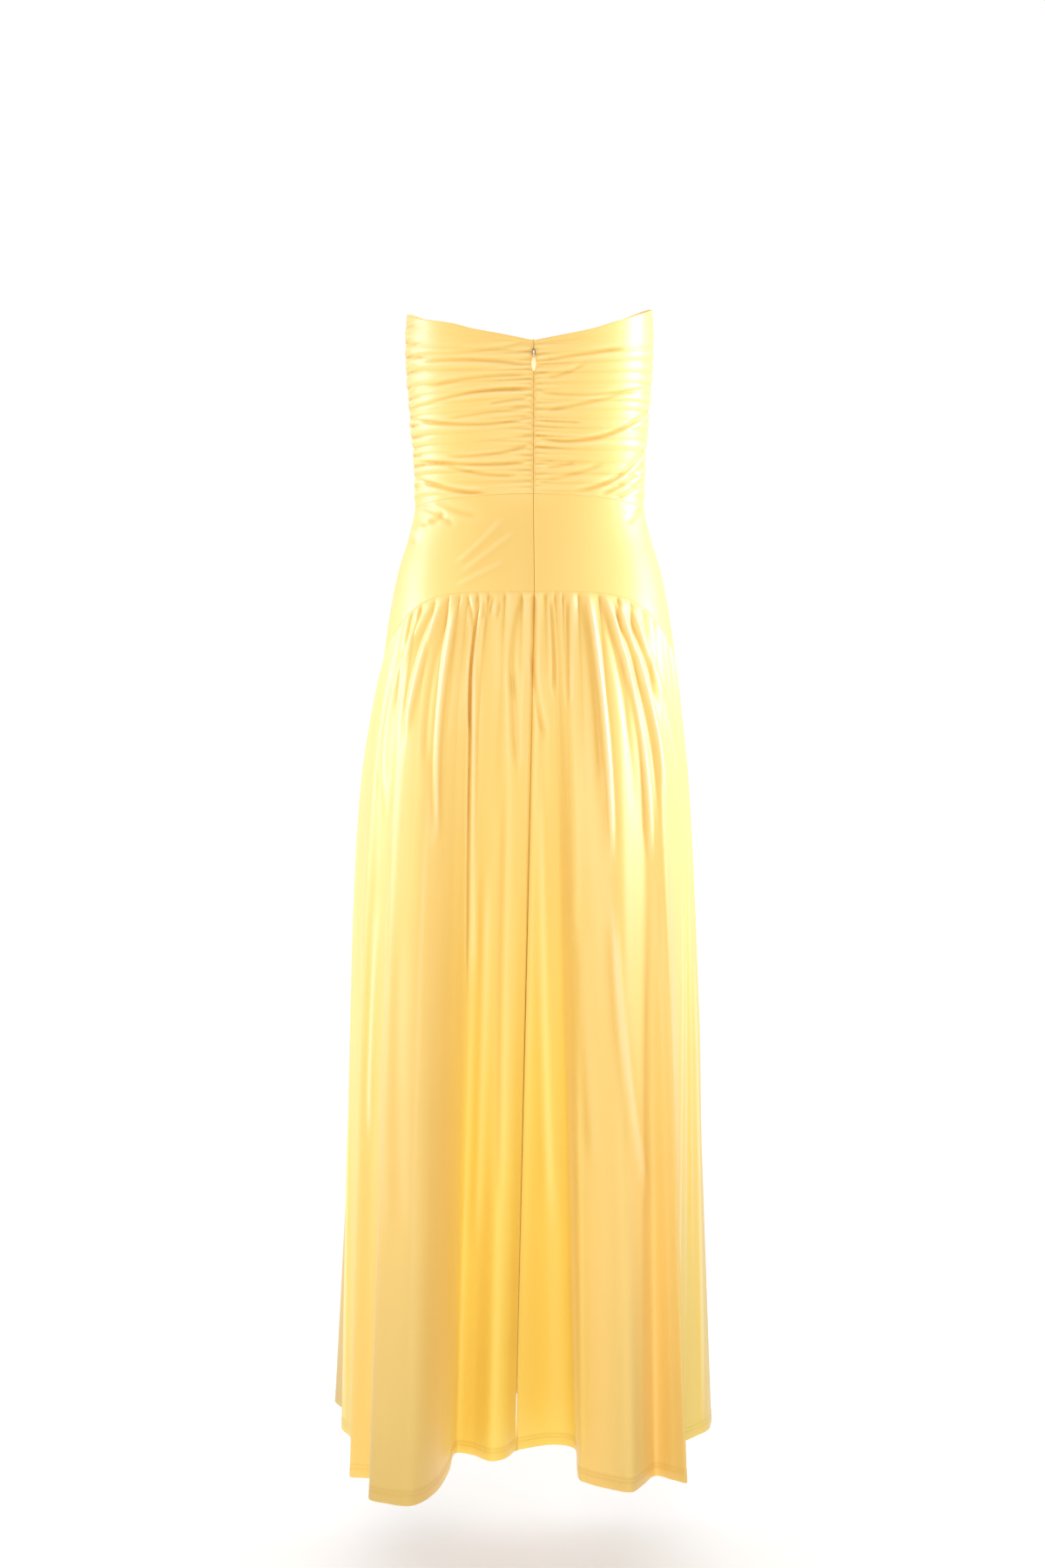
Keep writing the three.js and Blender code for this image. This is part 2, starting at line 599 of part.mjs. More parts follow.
// The slider: an oval body, a neck that reaches in to the tape, and a bridge for the pull.
function zipSlider() {
  const oval = new THREE.Shape();
  oval.absellipse(0, 0, SLIDER.half, SLIDER.halfTall, 0, 2 * Math.PI);
  const body = toSolid(plate(oval, sliderFace, sliderFace + SLIDER.thick, SLIDER.height));
  const tapeFace = zipAt.y + TAPE.inset - SEAM_GAP;
  const neckTop = sliderFace + SLIDER.thick / 2;
  const neck = toSolid(box(SLIDER_NECK.half, neckTop, tapeFace, SLIDER_NECK.halfTall, SLIDER.height));
  const ring = new THREE.Shape();
  ring.absarc(0, 0, BRIDGE.outer, 0, 2 * Math.PI);
  const eye = new THREE.Path();
  eye.absarc(0, 0, BRIDGE.inner, 0, 2 * Math.PI, true);
  ring.holes.push(eye);
  const depth = 2 * BRIDGE.half;
  const bridge = new THREE.ExtrudeGeometry(ring, { depth, bevelEnabled: false, curveSegments: CURVE_STEPS });
  bridge.rotateY(Math.PI / 2);
  bridge.translate(-BRIDGE.half, pullAxisY, PULL_AXIS.height);
  const rootFrom = pullAxisY + BRIDGE.inner + BRIDGE_ROOT.clear;
  const rootTo = sliderFace + BRIDGE_ROOT.sunk;
  const root = toSolid(box(BRIDGE.half, rootFrom, rootTo, BRIDGE.inner, PULL_AXIS.height));
  const solid = body.add(neck).add(toSolid(bridge)).add(root);
  return toGeometry(solid).translate(zipAt.x, 0, 0);
}

// The pull: a teardrop whose top bar turns in the bridge.
function zipPull() {
  const drop = new THREE.Shape();
  const top = PULL.bar / 2;
  const wide = PULL.half - PULL_LENGTH;
  drop.moveTo(-PULL.topHalf, top);
  drop.lineTo(-PULL.half, wide);
  drop.absarc(0, wide, PULL.half, Math.PI, 2 * Math.PI);
  drop.lineTo(PULL.topHalf, top);
  drop.closePath();
  const slot = new THREE.Path();
  slot.moveTo(-PULL.slotHalf, -top);
  slot.lineTo(PULL.slotHalf, -top);
  slot.lineTo(PULL.slotHalf, -PULL.slotEnd);
  slot.lineTo(-PULL.slotHalf, -PULL.slotEnd);
  slot.closePath();
  drop.holes.push(slot);
  const geometry = plate(drop, pullAxisY - PULL.thick / 2, pullAxisY + PULL.thick / 2, PULL_AXIS.height);
  return toGeometry(toSolid(geometry)).translate(zipAt.x, 0, 0);
}

// ---- The dress -----------------------------------------------------------------------------

const dress = new THREE.Group();

function addPiece(name, geometry, material) {
  const piece = new THREE.Mesh(geometry, material);
  piece.name = name;
  dress.add(piece);
}

addPiece('bodice_front', bodiceFront, jersey);
addPiece('bodice_back_left', bodiceBackLeft, jersey);
addPiece('bodice_back_right', bodiceBackRight, jersey);
addPiece('yoke_front', yokeFront, jersey);
addPiece('yoke_back_left', yokeBackLeft, jersey);
addPiece('yoke_back_right', yokeBackRight, jersey);
addPiece('skirt_front', skirtFront, jersey);
addPiece('skirt_back_left', skirtBackLeft, jersey);
addPiece('skirt_back_right', skirtBackRight, jersey);
addPiece('zip_tape', zipStrip(), zipTape);
addPiece('zip_slider', zipSlider(), zipMetal);
addPiece('zip_pull', zipPull(), zipMetal);

export default dress;
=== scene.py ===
"""A strapless maxi dress in butter-yellow jersey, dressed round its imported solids.

The tables are in millimetres, in the row frame: +Z up, the dress's back towards -Y, the wearer's
right at +X. A turn is an angle round the body in degrees: 0 is the back's middle, 90 the side at
+X, 180 the front's middle, 270 the side at -X. Blender's objects are in metres.
"""

import math

import bpy
import numpy as np
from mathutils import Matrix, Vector


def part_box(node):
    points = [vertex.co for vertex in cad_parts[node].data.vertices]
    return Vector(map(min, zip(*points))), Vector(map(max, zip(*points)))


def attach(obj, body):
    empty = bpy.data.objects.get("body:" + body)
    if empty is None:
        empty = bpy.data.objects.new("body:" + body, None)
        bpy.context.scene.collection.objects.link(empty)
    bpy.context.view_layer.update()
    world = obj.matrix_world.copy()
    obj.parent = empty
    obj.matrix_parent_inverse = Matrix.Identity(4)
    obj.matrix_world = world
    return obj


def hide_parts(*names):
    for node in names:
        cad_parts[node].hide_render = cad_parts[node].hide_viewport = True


MM = 0.001

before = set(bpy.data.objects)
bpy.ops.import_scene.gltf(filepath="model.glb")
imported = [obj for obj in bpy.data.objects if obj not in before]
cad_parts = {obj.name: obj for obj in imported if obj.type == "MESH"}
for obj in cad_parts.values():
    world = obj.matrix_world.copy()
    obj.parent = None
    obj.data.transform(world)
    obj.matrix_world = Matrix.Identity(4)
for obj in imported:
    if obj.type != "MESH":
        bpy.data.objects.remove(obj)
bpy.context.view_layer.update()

# ---- Dimensions ----

# Seams, sections and the hem lie where part.mjs puts them.
CLOTH = 1.1  # thickness of a panel's shell
SEAM_GAP = 0.12
ZIP_TURN = 1.8
SIDE_RIGHT = 99
SIDE_LEFT = 281
FULL_TURN = 360

WAIST_HEIGHT = -168
WAIST_DIP = 4
YOKE_BACK = -270
YOKE_FRONT = -278
YOKE_SIDE = -342
YOKE_ARCH = 6

HEM_HEIGHT = -1190
HEM_TILT = 4
HEM_SLIT = 7
SLIT_POWER = 24

SQUARENESS = 0.04

ROLL_REACH = 1.2  # from a panel's edge, over which the cloth turns into the seam
SOFT_ROLL = 0.2  # how far it turns in at the waist's and the yoke's seams
DEEP_ROLL = 0.7  # at the side seams and the skirt's back seam
ZIP_ROLL = 0.2
HEM_ROLL = 0.5  # at the top edge and the hem

# Shares of a panel's width or height, where its grid has extra steps close to an edge, and where
# its even steps start.
EDGE_STEPS = (0.0006, 0.002, 0.0045)
EVEN_FROM = 0.008
SHARP_CLOTH = 60  # degrees between faces, from which an edge is drawn sharp
SHARP_TAPE = 50
SHARP_METAL = 55
FULL_WAVE = 2 * math.pi


class Table:
    """Rows under named columns, read on a smooth curve along the first column."""

    def __init__(self, names, *rows):
        self.rows = np.array(sorted(rows), dtype=float)
        self.names = names.split()
        step = np.diff(self.rows[:, 0])
        rise = np.diff(self.rows, axis=0) / step[:, None]
        wide = (self.rows[2:] - self.rows[:-2]) / (self.rows[2:, 0] - self.rows[:-2, 0])[:, None]
        self.slopes = np.vstack([rise[:1], wide, rise[-1:]])

    def __call__(self, name, place):
        c = self.names.index(name)
        key = self.rows[:, 0]
        place = np.asarray(place, dtype=float)
        i = np.clip(np.searchsorted(key, place) - 1, 0, len(key) - 2)
        step = key[i + 1] - key[i]
        s = np.clip((place - key[i]) / step, 0, 1)
        start, end = self.rows[i, c], self.rows[i + 1, c]
        return (
            (2 * s**3 - 3 * s**2 + 1) * start
            + (s**3 - 2 * s**2 + s) * step * self.slopes[i, c]
            + (3 * s**2 - 2 * s**3) * end
            + (s**3 - s**2) * step * self.slopes[i + 1, c]
        )


SECTIONS = Table(
    "height half back front",
    (60, 133, 84, 94), (40, 134, 88, 105), (0, 133, 92, 125),
    (-40, 131, 92, 122), (-80, 128, 88, 108), (-120, 125, 83, 98),
    (-165, 124, 80, 93), (-200, 131, 87, 96), (-240, 143, 101, 102),
    (-280, 151, 118, 107), (-320, 157, 130, 110), (-360, 161, 137, 113),
)

TOP_EDGE = Table(
    "turn height",
    (0, -4), (16, 4), (28, 11), (38, 19), (60, 34),
    (90, 47), (112, 52), (135, 47), (160, 32), (180, 25),
    (200, 31), (225, 44), (248, 47), (270, 40), (300, 27),
    (322, 17), (332, 10), (344, 4), (360, -4),
)

# Ruched folds of a back panel: heights of the crest at the zip, halfway and at the side seam,
# and how far it stands out there.
FOLDS_LEFT = (
    (-11, -3, 16, 1.5, 1, 1.8),
    (-20, -14, -2, 1.6, 2, 2.2),
    (-30, -24, -15, 2.2, 3, 2.4),
    (-40, -41, -36, 1.8, 1.8, 2.4),
    (-49, -51, -49, 1.4, 0.9, 1.6),
    (-57, -61, -60, 2, 2.8, 2.4),
    (-66, -72, -69, 1.5, 0.9, 1.5),
    (-76, -82, -78, 1.6, 1.8, 2.4),
    (-87, -92, -89, 2.2, 3, 2.2),
    (-98, -105, -101, 1.5, 1, 2.4),
    (-107, -114, -111, 1.5, 0.9, 1.6),
    (-116, -123, -121, 2.2, 2.8, 2.4),
    (-131, -134, -132, 2, 2.4, 1.8),
    (-143, -145, -143, 1.4, 1.3, 1.8),
    (-154, -157, -156, 1.3, 1.8, 1.8),
)
FOLDS_RIGHT = (
    (-11, -1, 20, 1.5, 1, 1.8),
    (-25, -14, 1, 2.4, 2.8, 2.2),
    (-34, -27, -15, 1.6, 1.6, 2),
    (-43, -39, -28, 1.8, 1.1, 2.2),
    (-52, -49, -38, 1.4, 0.9, 1.6),
    (-61, -59, -48, 2, 2.4, 2.4),
    (-70, -68, -57, 1.5, 1.6, 1.6),
    (-79, -78, -67, 1.6, 1.2, 2.2),
    (-89, -88, -77, 1.8, 1.8, 2),
    (-98, -98, -88, 1.4, 1, 1.8),
    (-108, -109, -99, 2.4, 3, 2.4),
    (-122, -122, -112, 1.6, 1.2, 2),
    (-136, -135, -125, 1.8, 1.6, 2.4),
    (-147, -146, -138, 1.5, 2.6, 2.4),
    (-156, -157, -153, 1.2, 1.6, 2),
)
FOLD_COLUMNS = "zip mid side zip_out mid_out side_out".split()
FRONT_SAG = 7
FRONT_MID_OUT = (1.2, 2.4, 1.4, 2.8, 1.2, 2.2)
TROUGH_SHARE = 0.35
FOLD_SHARPNESS = 0.65  # below 1, crests are broad and the valleys between them are crisp
ZIP_EDGE_SHARE = 0.35  # the folds' height right at the zip, as a share
ZIP_EDGE_REACH = 0.05
MID_CALM = 0.5  # the regular folds' height halfway, where the traced creases take over
MID_FROM = 0.35  # shares of the way from the zip to the side seam
SIDE_FROM = 0.6
SIDE_PUFF = 1.35
VALLEY_LEAST = 0.25  # a valley's shallowest stretch, as a share of its depth
VALLEY_STEADY = 0.12  # share of the width at either side seam or zip without such a stretch
VALLEY_WAVES = 0.8  # shallow stretches across a panel
VALLEY_SWING = 2.4  # radians from one valley to the next, which set them apart
VALLEY_SHIFT = 1.9
BODICE_SHADE = 0.85  # how strongly painted shade darkens the bodice's valleys and a painted highlight pales its crests

# Fine gathers beside the bodice's upright seams: spacing, height and reach.
ZIP_GATHERS = (5.9, 2.0, 22)
SIDE_GATHERS = (6.6, 2.0, 16)
GATHERS_FROM = 0.8  # they start this far from the seam, and are full this much further on
GATHERS_FULL = 2.4
TOP_CALM = 14  # they run out this far from the top edge, and from the waist's seam
WAIST_CALM = 8
WANDER = ((1.3, 17, 1), (0.9, 7.3, 2))  # waves in their line: size, wavelength, share of the seed
LEAN = 0.05  # how far they lean for each millimetre from the seam, and that lean's wavelength
LEAN_WAVE = 23
LEVEL = 0.45  # of a gather's height, that lies under the cloth's middle
OWN_REACH = 0.75  # each one's share of the reach, and how much that swings
REACH_SWING = 0.45
LEAST_REACH = 5
GOLDEN_ANGLE = 2.399  # radians, so that neighbours differ
SEED_TURN = 40  # a seam's gathers vary by its turn over this

ZIP_STEP = 0.5  # degrees to either side of the zip, between which its direction is read
ZIP_GAP = 2
TAPE_INSET = 2.7
TAPE_THICK = 0.7
TAPE_EDGES = (-8, -7.6, -4.5, -1.4, -0.3, 0.3, 1.4, 4.5, 7.6, 8)
TAPE_DIP = 0.35  # where the two tapes meet
TAPE_DIP_HALF = 0.5
TAPE_TOP = -5
TAPE_BOTTOM = -267.7
TAPE_STEPS = 70
COIL_STEPS = 8  # for each turn of the coil
COIL_SIDES = 5
RING_SIDES = 12  # the pull's and the bridge's section
RING_SHARPNESS = 0.6
BRIDGE_STEPS = 32
COIL = {"top": -24, "bottom": -264, "pitch": 1.5, "wide": 1.9, "deep": 0.9, "wire": 0.3, "inset": 4.5}
SLIDER = {"height": -17, "half": 2.3, "half_tall": 4.6, "thick": 2, "from_axis": 1.6}
SLIDER_NECK = {"half": 0.42, "half_tall": 3, "start": 0.5, "end": 0.3}
BRIDGE = {"height": -20.4, "inner": 1.05, "outer": 1.85, "half": 0.6}
BRIDGE_SHADE = 0.2  # how much painted shade darkens the bridge, from 0 to 1
PULL = {"thick": 1.0, "top": 0.5, "slot_half": 0.95, "slot_end": 2.2, "length": 18, "half": 2.5}
# The pull is narrower at its top, and rounded out round the bridge.
PULL_EYE = {"half": 1.5, "over": 0.36, "share": 0.72, "taper": 0.6}

HEM_PLAN = Table(
    "seam x y",
    (1.8, -15, -28), (3.5, 12, -11), (5, 28, -7), (7, 43, -14),
    (9, 50, -34), (14, 50, -131), (18, 58, -152), (24, 79, -173),
    (32, 103, -187), (37, 116, -163), (42, 130, -132), (47, 148, -148),
    (51, 161, -158), (60, 151, -92), (72, 161, -22), (81, 180, 10),
    (91, 200, 45), (99, 203, 90), (106, 178, 118), (115, 190, 180),
    (124, 162, 196), (133, 134, 166), (143, 117, 232), (153, 60, 240),
    (163, 32, 178), (173, 6, 178), (183, -34, 242), (195, -90, 240),
    (205, -112, 174), (216, -143, 226), (232, -188, 214), (246, -227, 194),
    (257, -204, 128), (268, -211, 78), (275, -200, 44), (281, -184, -2),
    (287, -172, -46), (298, -188, -112), (304, -165, -122), (309, -156, -152),
    (314, -163, -192), (318, -148, -207), (325, -117, -217), (331, -96, -174),
    (337, -85, -104), (344, -80, -36), (348, -62, -42), (353, -42, -67),
    (357, -26, -58), (361.8, -15, -28),
)
HEM_OVAL = {"left": 216, "right": 187, "back": 190, "front": 215}
HIP_SPREAD = 0.5
HIP_REACH = 0.12
FLUTE_GROWTH = 1.15
FOLD_DEPTH = 50  # a flute that stands out or lies in this far at the hem gets the full painted shade on its ridge or painted glow in its hollow
HOLLOW_DEPTH = 1.3  # a crease this far below the cloth round it gets the deepest painted shade

BACK_SEAM_DEEP = 2.2  # the skirt's back seam lies in a narrow valley
BACK_SEAM_WIDE = 3
BACK_SEAM_FADE = 0.75  # share of its depth that the valley loses down to the hem
SKIRT_RISE = 0.02  # share of the skirt's height over which its creases start
CREASE_CLEAR = 12  # traced creases run out this far from a side seam
SEAM_CLEAR = 4  # and this far from the waist's and the yoke's seams
CREASE_OVER = 0.06  # a crease runs on past each of its ends, as a share of its length
CREASE_FADE = 0.22  # and fades over this share
HIDDEN_FADE = 0.3
GATHERS_END = 720  # creases that start above this pixel row are gathers, which the front has too
SIDE_GLOW = 0.7  # how much painted golden glow the hem's sides get
LOW_SHADE = 0.45  # and how much duller painted shade the hem's back and front get
SIDE_SHALLOW = 0.4  # traced creases are this much shallower at the sides
SIDE_CREASE_GLOW = 0.85  # creases near the side seams get a painted golden glow instead of painted brown shade
HALF_ROUND = (-1, -1, 1)  # turns a point of the front to the back

HEM_FOLD = 15  # the hem is turned up this far, and sewn down by two rows of stitches
HEM_FOLD_OUT = 0.3
HEM_FOLD_SOFT = 2
HEM_SHADE = 0.18  # how much painted shade darkens the turned-up hem and the stitches' grooves
STITCH_SHADE = 0.25
STITCH_ROWS = (9.5, 13.5)
STITCH_GROOVE = 0.35
STITCH_GROOVE_WIDE = 1.2
STITCH_LONG = 2.6
STITCH_PITCH = 3.2
STITCH_THICK = 0.5
STITCH_RINGS = ((0, 0.4), (0.5, 1), (1, 0.4))  # shares of a stitch's length and thickness

GATHERS_BACK = 15
GATHERS_FRONT = 28
GATHER_OUT_BACK = 2.4
GATHER_OUT_SIDE = 1.5
GATHER_IN = 0.8
# Shares of the skirt's height over which gathers rise, and over which they and the dip fade.
GATHER_RISE = 0.008
GATHER_SHORT = 0.05
GATHER_FADE = 0.14
GATHER_SHARPNESS = 0.9
# How gathers differ: the swing as a share, and the step from one to the next in radians.
GATHER_PLACES = (0.22, 2.6)
GATHER_SIZES = (0.3, 2.1)
GATHER_LENGTHS = (0.4, 1.7)
SEAM_BALANCE = 0.5
# The grid's rows down the skirt: each stretch's start, end and count, and the rows at the hem.
SKIRT_ROWS = ((0, 2 * GATHER_RISE, 9), (0.02, 0.2, 26), (0.22, 0.965, 36), (0.972, 0.998, 16))
HEM_ROWS = (0.9987, 0.9994, 1)

# Light, and the floor, in metres and watts.
# The sky's strength: along Y and along Z, from one direction cosine to another.
WORLD_SPREAD = (("Y", 0.2, 0.9, 0.12, 0.5), ("Z", 0.1, 1, 0, 1.0))
BACKDROP = 1.05
FLOOR_HALF = 9
FLOOR_LEVEL = -1.345
FLOOR_GLOW = 0.25
RIM_COLOUR = (0.76, 0.72, 1)
# Each lamp: its name, place, aim, size, power, spread in degrees, and colour.
LIGHTS = (
    ("rim_left", (-1.7, 0.2, 0.1), (0, 0, -0.42), (0.6, 1.0), 3.1, 40, RIM_COLOUR),
    ("rim_right", (1.7, 0.18, 0.2), (0, 0, -0.2), (0.6, 1.0), 4.5, 35, RIM_COLOUR),
    ("front", (-0.15, -2.7, -0.1), (0, 0, -0.6), (0.6, 0.6), 26, 180, (1, 1, 1)),
)

# The camera that took the photo, and its picture's size in pixels.
CAMERA_AT = (-7.6, -2600, -471)
CAMERA_LENS = 54.74
CAMERA_SENSOR = 36
PHOTO_SIZE = (1200, 1800)
PHOTO_FOCUS = CAMERA_LENS / CAMERA_SENSOR * PHOTO_SIZE[1]


# ---- Small helpers ----


def lerp(start, end, share):
    return start + (end - start) * share


def smooth(share):
    s = np.clip(share, 0, 1)
    return s * s * (3 - 2 * s)


def through(a, b, c, s):
    """A curve from a through b, halfway, to c."""
    return a * (1 - s) * (1 - 2 * s) + 4 * b * s * (1 - s) + c * s * (2 * s - 1)


def sin_of(degrees):
    return np.sin(np.radians(degrees))


def cos_of(degrees):
    return np.cos(np.radians(degrees))


def vectors(x, y, z):
    return np.stack(np.broadcast_arrays(x, y, z), axis=-1)


def unit(v):
    return v / np.maximum(np.linalg.norm(v, axis=-1, keepdims=True), 1e-9)


def normals_of(points):
    """The directions out of a grid of points, rows downwards and columns along the turn."""
    return unit(np.cross(np.gradient(points, axis=0), np.gradient(points, axis=1)))


def lengths(points, axis):
    """How far along its row or column each point of a grid lies."""
    steps = np.linalg.norm(np.diff(points, axis=axis), axis=-1)
    start = np.zeros_like(np.take(steps, [0], axis=axis))
    return np.concatenate([start, np.cumsum(steps, axis=axis)], axis=axis)


# ---- The body's form and its seams ----


def oval(turn, left, right, back, front):
    sine, cosine = sin_of(turn), cos_of(turn)
    swell = 1 + SQUARENESS * sin_of(2 * turn) ** 2
    x = sine * np.where(sine > 0, right, left) * swell
    y = -cosine * np.where(cosine > 0, back, front) * swell
    return x, y


def body_point(turn, height):
    half = SECTIONS("half", height)
    x, y = oval(turn, half, half, SECTIONS("back", height), SECTIONS("front", height))
    return vectors(x, y, height)


def top_edge(turn):
    return TOP_EDGE("height", np.mod(turn - ZIP_TURN, FULL_TURN))


def waist_seam(turn):
    return WAIST_HEIGHT + WAIST_DIP * cos_of(2 * turn)


def yoke_seam(turn):
    middle = np.where(cos_of(turn) > 0, YOKE_BACK, YOKE_FRONT)
    return lerp(middle, YOKE_SIDE, sin_of(turn) ** YOKE_ARCH)


def in_photo(points):
    """Where points of the dress show in the photo, in its pixels."""
    scale = PHOTO_FOCUS / (points[..., 1] - CAMERA_AT[1])
    x = PHOTO_SIZE[0] / 2 + (points[..., 0] - CAMERA_AT[0]) * scale
    y = PHOTO_SIZE[1] / 2 - (points[..., 2] - CAMERA_AT[2]) * scale
    return x, y


# ---- Creases, placed where the photo shows them ----

# A crease's columns are x0, y0, x1, y1, x2, y2, deep, wide. It runs from x0, y0 past x1, y1 to
# x2, y2, and is as wide, in the photo's pixels. Its depth is in millimetres, and a negative one
# is a soft ridge.
BODICE_CREASES = (
    (479, 407, 554, 402, 601, 393, 1.2, 2.8),
    (484, 415, 545, 413, 610, 419, 2.2, 2.4),
    (492, 444, 545, 433, 607, 430, 2, 2.6),
    (495, 462, 545, 450, 607, 447, 2.4, 2.2),
    (561, 463, 585, 459, 607, 456, 1.4, 1.8),
    (514, 481, 560, 473, 607, 468, 1.5, 2.4),
    (471, 481, 540, 487, 607, 480, 2.5, 2.2),
    (516, 524, 562, 521, 607, 511, 2.2, 2.4),
    (478, 529, 540, 533, 609, 529, 2.7, 2.4),
    (515, 535, 550, 543, 592, 545, 1.9, 2.4),
    (480, 550, 520, 562, 559, 567, 3.1, 2.8),
    (617, 414, 650, 409, 714, 400, 2.4, 2.4),
    (627, 433, 648, 428, 670, 418, 1.5, 2.4),
    (620, 450, 680, 453, 741, 446, 1.9, 2.2),
    (627, 471, 668, 463, 710, 454, 1.9, 2.4),
    (620, 483, 644, 484, 667, 485, 1.5, 2),
    (619, 503, 687, 502, 747, 471, 3.1, 2.4),
    (627, 536, 644, 534, 660, 531, 1.5, 2.2),
    (624, 550, 650, 546, 690, 533, 1.5, 2.8),
    (659, 563, 711, 546, 746, 505, 3.1, 2.8),
    (689, 567, 718, 553, 743, 526, 2.5, 2.8),
    (704, 572, 728, 560, 744, 541, 1.9, 2.4),
)
YOKE_CREASES = (
    (523, 646, 549, 624, 577, 594, -0.9, 2.6),
    (530, 656, 558, 635, 588, 611, -0.9, 2.6),
    (524, 672, 549, 659, 578, 644, -0.8, 2.6),
    (478, 579, 500, 588, 521, 603, 1.3, 4),
    (484, 604, 498, 597, 510, 589, 1.6, 4),
    (492, 570, 515, 583, 548, 592, 1, 4),
    (476, 620, 486, 606, 495, 598, -1.8, 5),
    (721, 600, 731, 590, 740, 578, 1.5, 3),
    (471, 600, 459, 650, 447, 700, 1.8, 1.8),
)
# The skirt's gathers and the long folds from them, left to right, and then the folds lower down.
SKIRT_CREASES = (
    (491, 700, 458, 760, 447, 930, -3.6, 4.4),
    (485, 700, 452, 770, 437, 930, 1.6, 4),
    (507, 692, 487, 745, 466, 840, -3.2, 4),
    (500, 695, 478, 750, 459, 860, 2.2, 4),
    (526, 691, 511, 750, 502, 960, -3.4, 3.8),
    (517, 693, 500, 750, 488, 880, 2, 5),
    (538, 687, 541, 702, 544, 722, 2.2, 2),
    (551, 689, 543, 735, 540, 840, 3, 1.6),
    (541, 760, 539, 930, 538, 1130, 3.2, 1.4),
    (545, 740, 544, 920, 544, 1110, -1.6, 3.4),
    (557, 687, 556, 697, 555, 710, 2, 2),
    (567, 684, 564, 694, 562, 706, 1.6, 2),
    (573, 683, 573, 694, 571, 708, 1.6, 2),
    (600, 683, 589, 732, 589, 800, 1.8, 4),
    (589, 770, 590, 820, 594, 880, 1.8, 5),
    (611, 745, 615, 790, 626, 850, 2, 3),
    (632, 681, 635, 725, 636, 795, 2.6, 2.2),
    (652, 681, 652, 735, 652, 812, 2.2, 2.4),
    (675, 681, 689, 770, 703, 980, -3.6, 3.2),
    (668, 681, 679, 760, 689, 900, 2, 5),
    (695, 683, 723, 770, 748, 980, -3.6, 3),
    (689, 682, 711, 770, 730, 940, 1.5, 4.4),
    (703, 683, 738, 770, 764, 920, -2.8, 3),
    (700, 683, 731, 770, 757, 940, 1.5, 3.2),
    (721, 692, 752, 772, 780, 900, -2.6, 3),
    (716, 690, 746, 776, 773, 920, 1.4, 3.4),
    (661, 1060, 664, 1206, 674, 1330, 2.6, 8),
    (705, 1050, 716, 1200, 741, 1370, -3, 6),
    (434, 1050, 428, 1180, 424, 1300, -3, 4),
    (455, 1080, 452, 1240, 455, 1420, 2, 9),
    (560, 1000, 556, 1200, 549, 1430, -2.2, 6),
    (577, 900, 573, 1100, 571, 1380, 1.8, 6),
    (621, 900, 625, 1100, 634, 1400, -2, 6),
)

# Folds like them on the sides and the front, which the photo doesn't show. Each starts and ends
# at a turn and a share of the skirt's height; deep is in millimetres and wide in degrees.
HIDDEN_FOLDS = (
    (95, 96, 0.02, 0.6, -2.4, 1.8),
    (100, 103, 0.03, 0.42, 2.2, 1.4),
    (108, 112, 0.02, 0.62, -2.8, 1.8),
    (114, 121, 0.03, 0.5, 2.4, 1.5),
    (92, 94, 0.5, 1.05, 2.4, 2),
    (103, 105, 0.45, 1.05, -2.6, 2.2),
    (116, 119, 0.55, 1, 2, 1.8),
    (131, 129, 0.3, 0.9, 2.4, 2.2),
    (147, 146, 0.25, 0.85, -2.4, 2.2),
    (160, 160, 0.03, 0.5, 2.6, 1.5),
    (171, 172, 0.35, 0.95, -2.2, 2),
    (190, 191, 0.3, 0.85, 2.6, 2),
    (205, 206, 0.03, 0.5, -2.4, 1.5),
    (221, 224, 0.3, 0.9, 2.4, 2.2),
    (236, 239, 0.2, 0.8, -2.4, 2),
    (251, 246, 0.02, 0.55, -2.8, 1.8),
    (257, 254, 0.03, 0.48, 2.4, 1.5),
    (266, 263, 0.02, 0.62, -2.6, 1.8),
    (272, 271, 0.03, 0.4, 2.2, 1.4),
    (262, 260, 0.5, 1.05, 2.4, 2),
    (272, 272, 0.55, 1, -2.4, 2),
    (71, 69, 0.3, 0.95, -2.2, 1.8),
    (79, 79, 0.2, 0.85, 2.2, 1.6),
    (86, 86, 0.35, 1, -2.4, 1.8),
    (288, 289, 0.25, 0.95, -2, 1.8),
    (294, 295, 0.35, 0.9, 2, 1.6),
)


def run_out(s, fade):
    """How strong a crease is along its length, from 0 to 1, where s is the share of its length."""
    return smooth((s + CREASE_OVER) / fade) * smooth((1 + CREASE_OVER - s) / fade)


def hidden_folds(turns, downs):
    """How far the cloth is pressed in by the folds of the hidden sides, in millimetres."""
    pressed = np.zeros(turns.shape)
    for turn_from, turn_to, start, end, deep, wide in HIDDEN_FOLDS:
        s = (downs - start) / (end - start)
        off = turns - lerp(turn_from, turn_to, s)
        pressed += deep * run_out(s, HIDDEN_FADE) * np.exp(-((off / wide) ** 2))
    return pressed


def creased(name, points, creases):
    """How far each point of a panel is pressed in by creases, in millimetres.

    A front panel has them where the back has, half round from there.
    """
    px, py = in_photo(points * HALF_ROUND if name.endswith("_front") else points)
    pressed = np.zeros(px.shape)
    for x0, y0, x1, y1, x2, y2, deep, wide in creases:
        run = np.array((x2 - x0, y2 - y0), dtype=float)
        length = np.hypot(*run)
        run /= length
        across = np.array((-run[1], run[0]))
        bow = (x1 - x0) * across[0] + (y1 - y0) * across[1]
        s = ((px - x0) * run[0] + (py - y0) * run[1]) / length
        off = (px - x0) * across[0] + (py - y0) * across[1] - 4 * bow * s * (1 - s)
        pressed += deep * run_out(s, CREASE_FADE) * np.exp(-((off / wide) ** 2))
    return pressed


def clear_of_seams(pressed, distances):
    """Creases that run out at the side seams, where two panels meet. distances are from these."""
    for distance in distances:
        pressed = pressed * smooth(distance / CREASE_CLEAR)
    return pressed


# ---- Meshes ----


